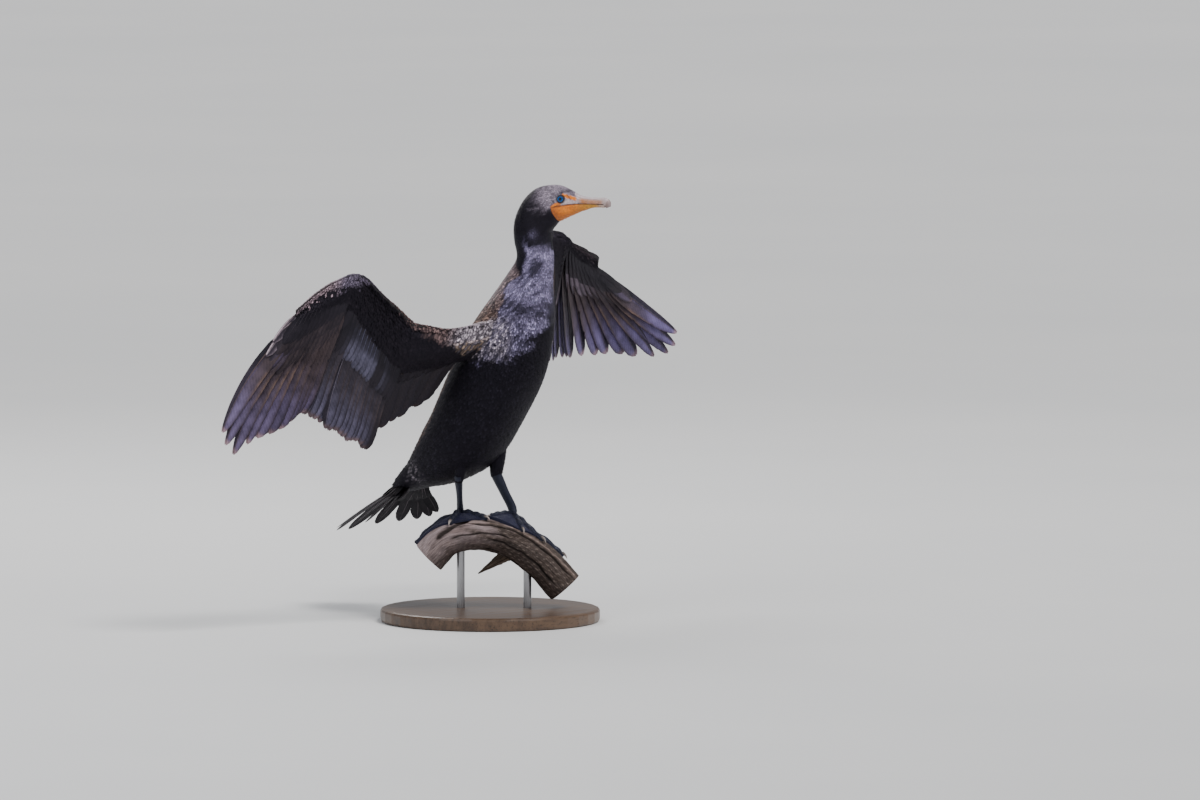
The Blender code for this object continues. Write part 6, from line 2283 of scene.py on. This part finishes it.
def make_thigh_coat(name, surface, inside, finish):
    """Feathers of one thigh, which lie down towards the heel."""
    rng = np.random.default_rng(101 if name == "left" else 102)
    found = []
    row, i = 3.0, 0
    while row < surface.rows - 2:
        length = 8 + 4 * row / surface.rows
        ring = surface.col_step[int(row)]
        count = int(ring.sum() / (length * 0.4))
        block = np.empty((count, 6))
        block[:, 0] = row + rng.uniform(-0.3, 0.3, count)
        block[:, 1] = (np.arange(count) + 0.5 * (i % 2)) / count * surface.cols
        block[:, 2] = length * rng.uniform(0.9, 1.2, count)
        block[:, 3] = length * FEATHER_WIDTH
        block[:, 4] = rng.normal(0, 0.12, count)
        block[:, 5] = rng.uniform(0, 0.5, count)
        found.append(block)
        row += length * 0.36 / surface.row_step[int(row)].mean()
        i += 1
    roots = np.concatenate(found)
    roots = roots[growing_out(surface, roots, inside)]
    count = len(roots)
    middle = BLACK * rng.normal(1.0, 0.15, count)[:, None]
    colours = (middle, BLACK_EDGE * np.ones((count, 1)))
    coat(f"coat_thigh_{name}", surface, roots, finish, THIGH_COAT_DEPTH, colours)


# Studio. Lights are in metres and watts, and the key and the surround in their own strengths.

FLOOR_HALF = 70.0
LOOK_AT = np.array((0.0, 0.0, 0.42))
KEY_STRENGTH = 2.7
KEY_SPREAD = math.radians(24)
SURROUND_COLOUR = (0.93, 0.95, 1.0, 1.0)
SURROUND_STRENGTH = 0.42
FAR_CLIP = 200


def make_floor():
    """A wide pale floor, a little cloudy."""
    mesh = bpy.data.meshes.new("floor")
    corners = [(x * FLOOR_HALF, y * FLOOR_HALF, 0) for x, y in ((-1, -1), (1, -1), (1, 1), (-1, 1))]
    mesh.from_pydata(corners, [], [(0, 1, 2, 3)])
    floor = bpy.data.objects.new("floor", mesh)
    bpy.context.scene.collection.objects.link(floor)
    finish = Finish("floor_pale", 0.75, Specular_IOR_Level=0.2)
    cloudy = finish.noise(finish.place(), 0.8, 3.0)
    finish.colour(finish.ramp(cloudy, ((0.3, (0.71, 0.72, 0.73)), (0.7, (0.75, 0.755, 0.76)))))
    mesh.materials.append(finish.material)


def aim(obj, target):
    """Turns a light or a camera towards a place."""
    obj.rotation_euler = (Vector(target) - obj.location).to_track_quat("-Z", "Y").to_euler()


def make_light(name, kind, place, power, colour, **settings):
    """A light at a place in metres, aimed at the bird."""
    light = bpy.data.lights.new(name, kind)
    light.energy = power
    light.color = colour
    for key, value in settings.items():
        setattr(light, key, value)
    obj = bpy.data.objects.new(name, light)
    obj.location = tuple(place)
    bpy.context.scene.collection.objects.link(obj)
    aim(obj, LOOK_AT)


def make_studio():
    """A broad, even key from high on the photo's lit side, weak fill and rim, and a pale surround."""
    make_floor()
    key = LOOK_AT + 2.0 * RIGHT + 1.6 * NEAR + 4.2 * UP
    fill = LOOK_AT - 1.7 * RIGHT + 2.0 * NEAR + 1.9 * UP
    rim = LOOK_AT - 0.9 * RIGHT - 2.2 * NEAR + 1.9 * UP
    make_light("key", "SUN", key, KEY_STRENGTH, (1.0, 0.975, 0.945), angle=KEY_SPREAD)
    make_light("fill", "AREA", fill, 20, (0.93, 0.96, 1.0), shape="DISK", size=2.0)
    make_light("rim", "AREA", rim, 34, (1.0, 0.98, 0.96), shape="DISK", size=1.4)
    world = bpy.data.worlds.new("studio")
    world.use_nodes = True
    background = world.node_tree.nodes["Background"]
    background.inputs[0].default_value = SURROUND_COLOUR
    background.inputs[1].default_value = SURROUND_STRENGTH
    bpy.context.scene.world = world


def make_camera():
    """A long lens at the photo's height and direction, with the photo's scale and centre."""
    right = (PHOTO_CENTRE[0] - PERCH_TOP_PIXEL[0]) * PIXEL
    up = (PERCH_TOP_PIXEL[1] - PHOTO_CENTRE[1]) * PIXEL
    centre = (right * RIGHT + (up + BIRD_HEIGHT) * UP) * MM
    away = math.cos(VIEW_ELEVATION) * NEAR + math.sin(VIEW_ELEVATION) * UP
    data = bpy.data.cameras.new("camera")
    data.sensor_width = SENSOR
    data.lens = SENSOR * VIEW_DISTANCE / (FRAME_WIDTH * PIXEL * MM)
    data.clip_end = FAR_CLIP
    camera = bpy.data.objects.new("camera", data)
    camera.location = tuple(centre + away * VIEW_DISTANCE)
    bpy.context.scene.collection.objects.link(camera)
    aim(camera, centre)
    bpy.context.scene.camera = camera


def finish_node(node, finish):
    """Gives a solid that stays in view a better material."""
    for obj in bpy.data.objects:
        if obj.name == node and obj.type == "MESH":
            obj.data.materials.clear()
            obj.data.materials.append(finish)


def main():
    """Makes every finish, the bird from its skin outwards, the perch, and the studio."""
    finishes = {
        "body": plumage("plumage_body", 0.5, 0.2, 0.01, (0.8, 0.74, 1.0)),
        "neck": plumage("plumage_neck", 0.4, 0.3, 0.03, (0.76, 0.7, 1.0)),
        "head": plumage("plumage_head", 0.45, 0.26, 0.03, (0.84, 0.76, 1.0)),
        "skin": skin_finish("skin_under_coat", 0.5, 900.0, 0.5),
        "vane": vane_finish(),
        "horn": horn_finish(),
        "eye": eye_finish(),
        "lid": skin_finish("lid_skin", 0.35, 1400.0, 0.3),
        "leg": skin_finish("leg_skin_scaled", 0.36, 620.0, 0.7, (0.75, 0.8, 1.0)),
        "claw": skin_finish("claw_horn", 0.4, 300.0, 0.2),
        "wood": driftwood_finish(),
        "throat": skin_finish("throat_skin_bare", 0.42, 760.0, 0.6),
    }
    body = Body()
    wings = [Wing("left", WING_LEFT, 1), Wing("right", WING_RIGHT, -1)]
    thighs = {name: thigh_surface(name) for name in ("left", "right")}
    inside = make_skin(body, [wing.surface for wing in wings], thighs.values(), finishes["skin"])
    make_body_coat(body, inside, finishes)
    for wing in wings:
        make_flight_feathers(wing, finishes["vane"])
        make_coverts(wing, finishes["vane"])
        make_wing_coat(wing, inside, finishes["body"])
    make_tail(tail_finish())
    make_bill(body, finishes)
    make_eye(1, "eye_left", finishes)
    make_eye(-1, "eye_right", finishes)
    make_perch(finishes["wood"])
    make_shoot(finishes["wood"])
    for name in ("left", "right"):
        make_foot(name, finishes)
        make_shank(name, finishes)
        make_thigh_coat(name, thighs[name], inside, finishes["body"])
    finish_node("stand_base", stand_wood_finish())
    steel = steel_finish()
    for node in ("stand_rod_left", "stand_rod_right"):
        finish_node(node, steel)
    make_studio()
    make_camera()


main()
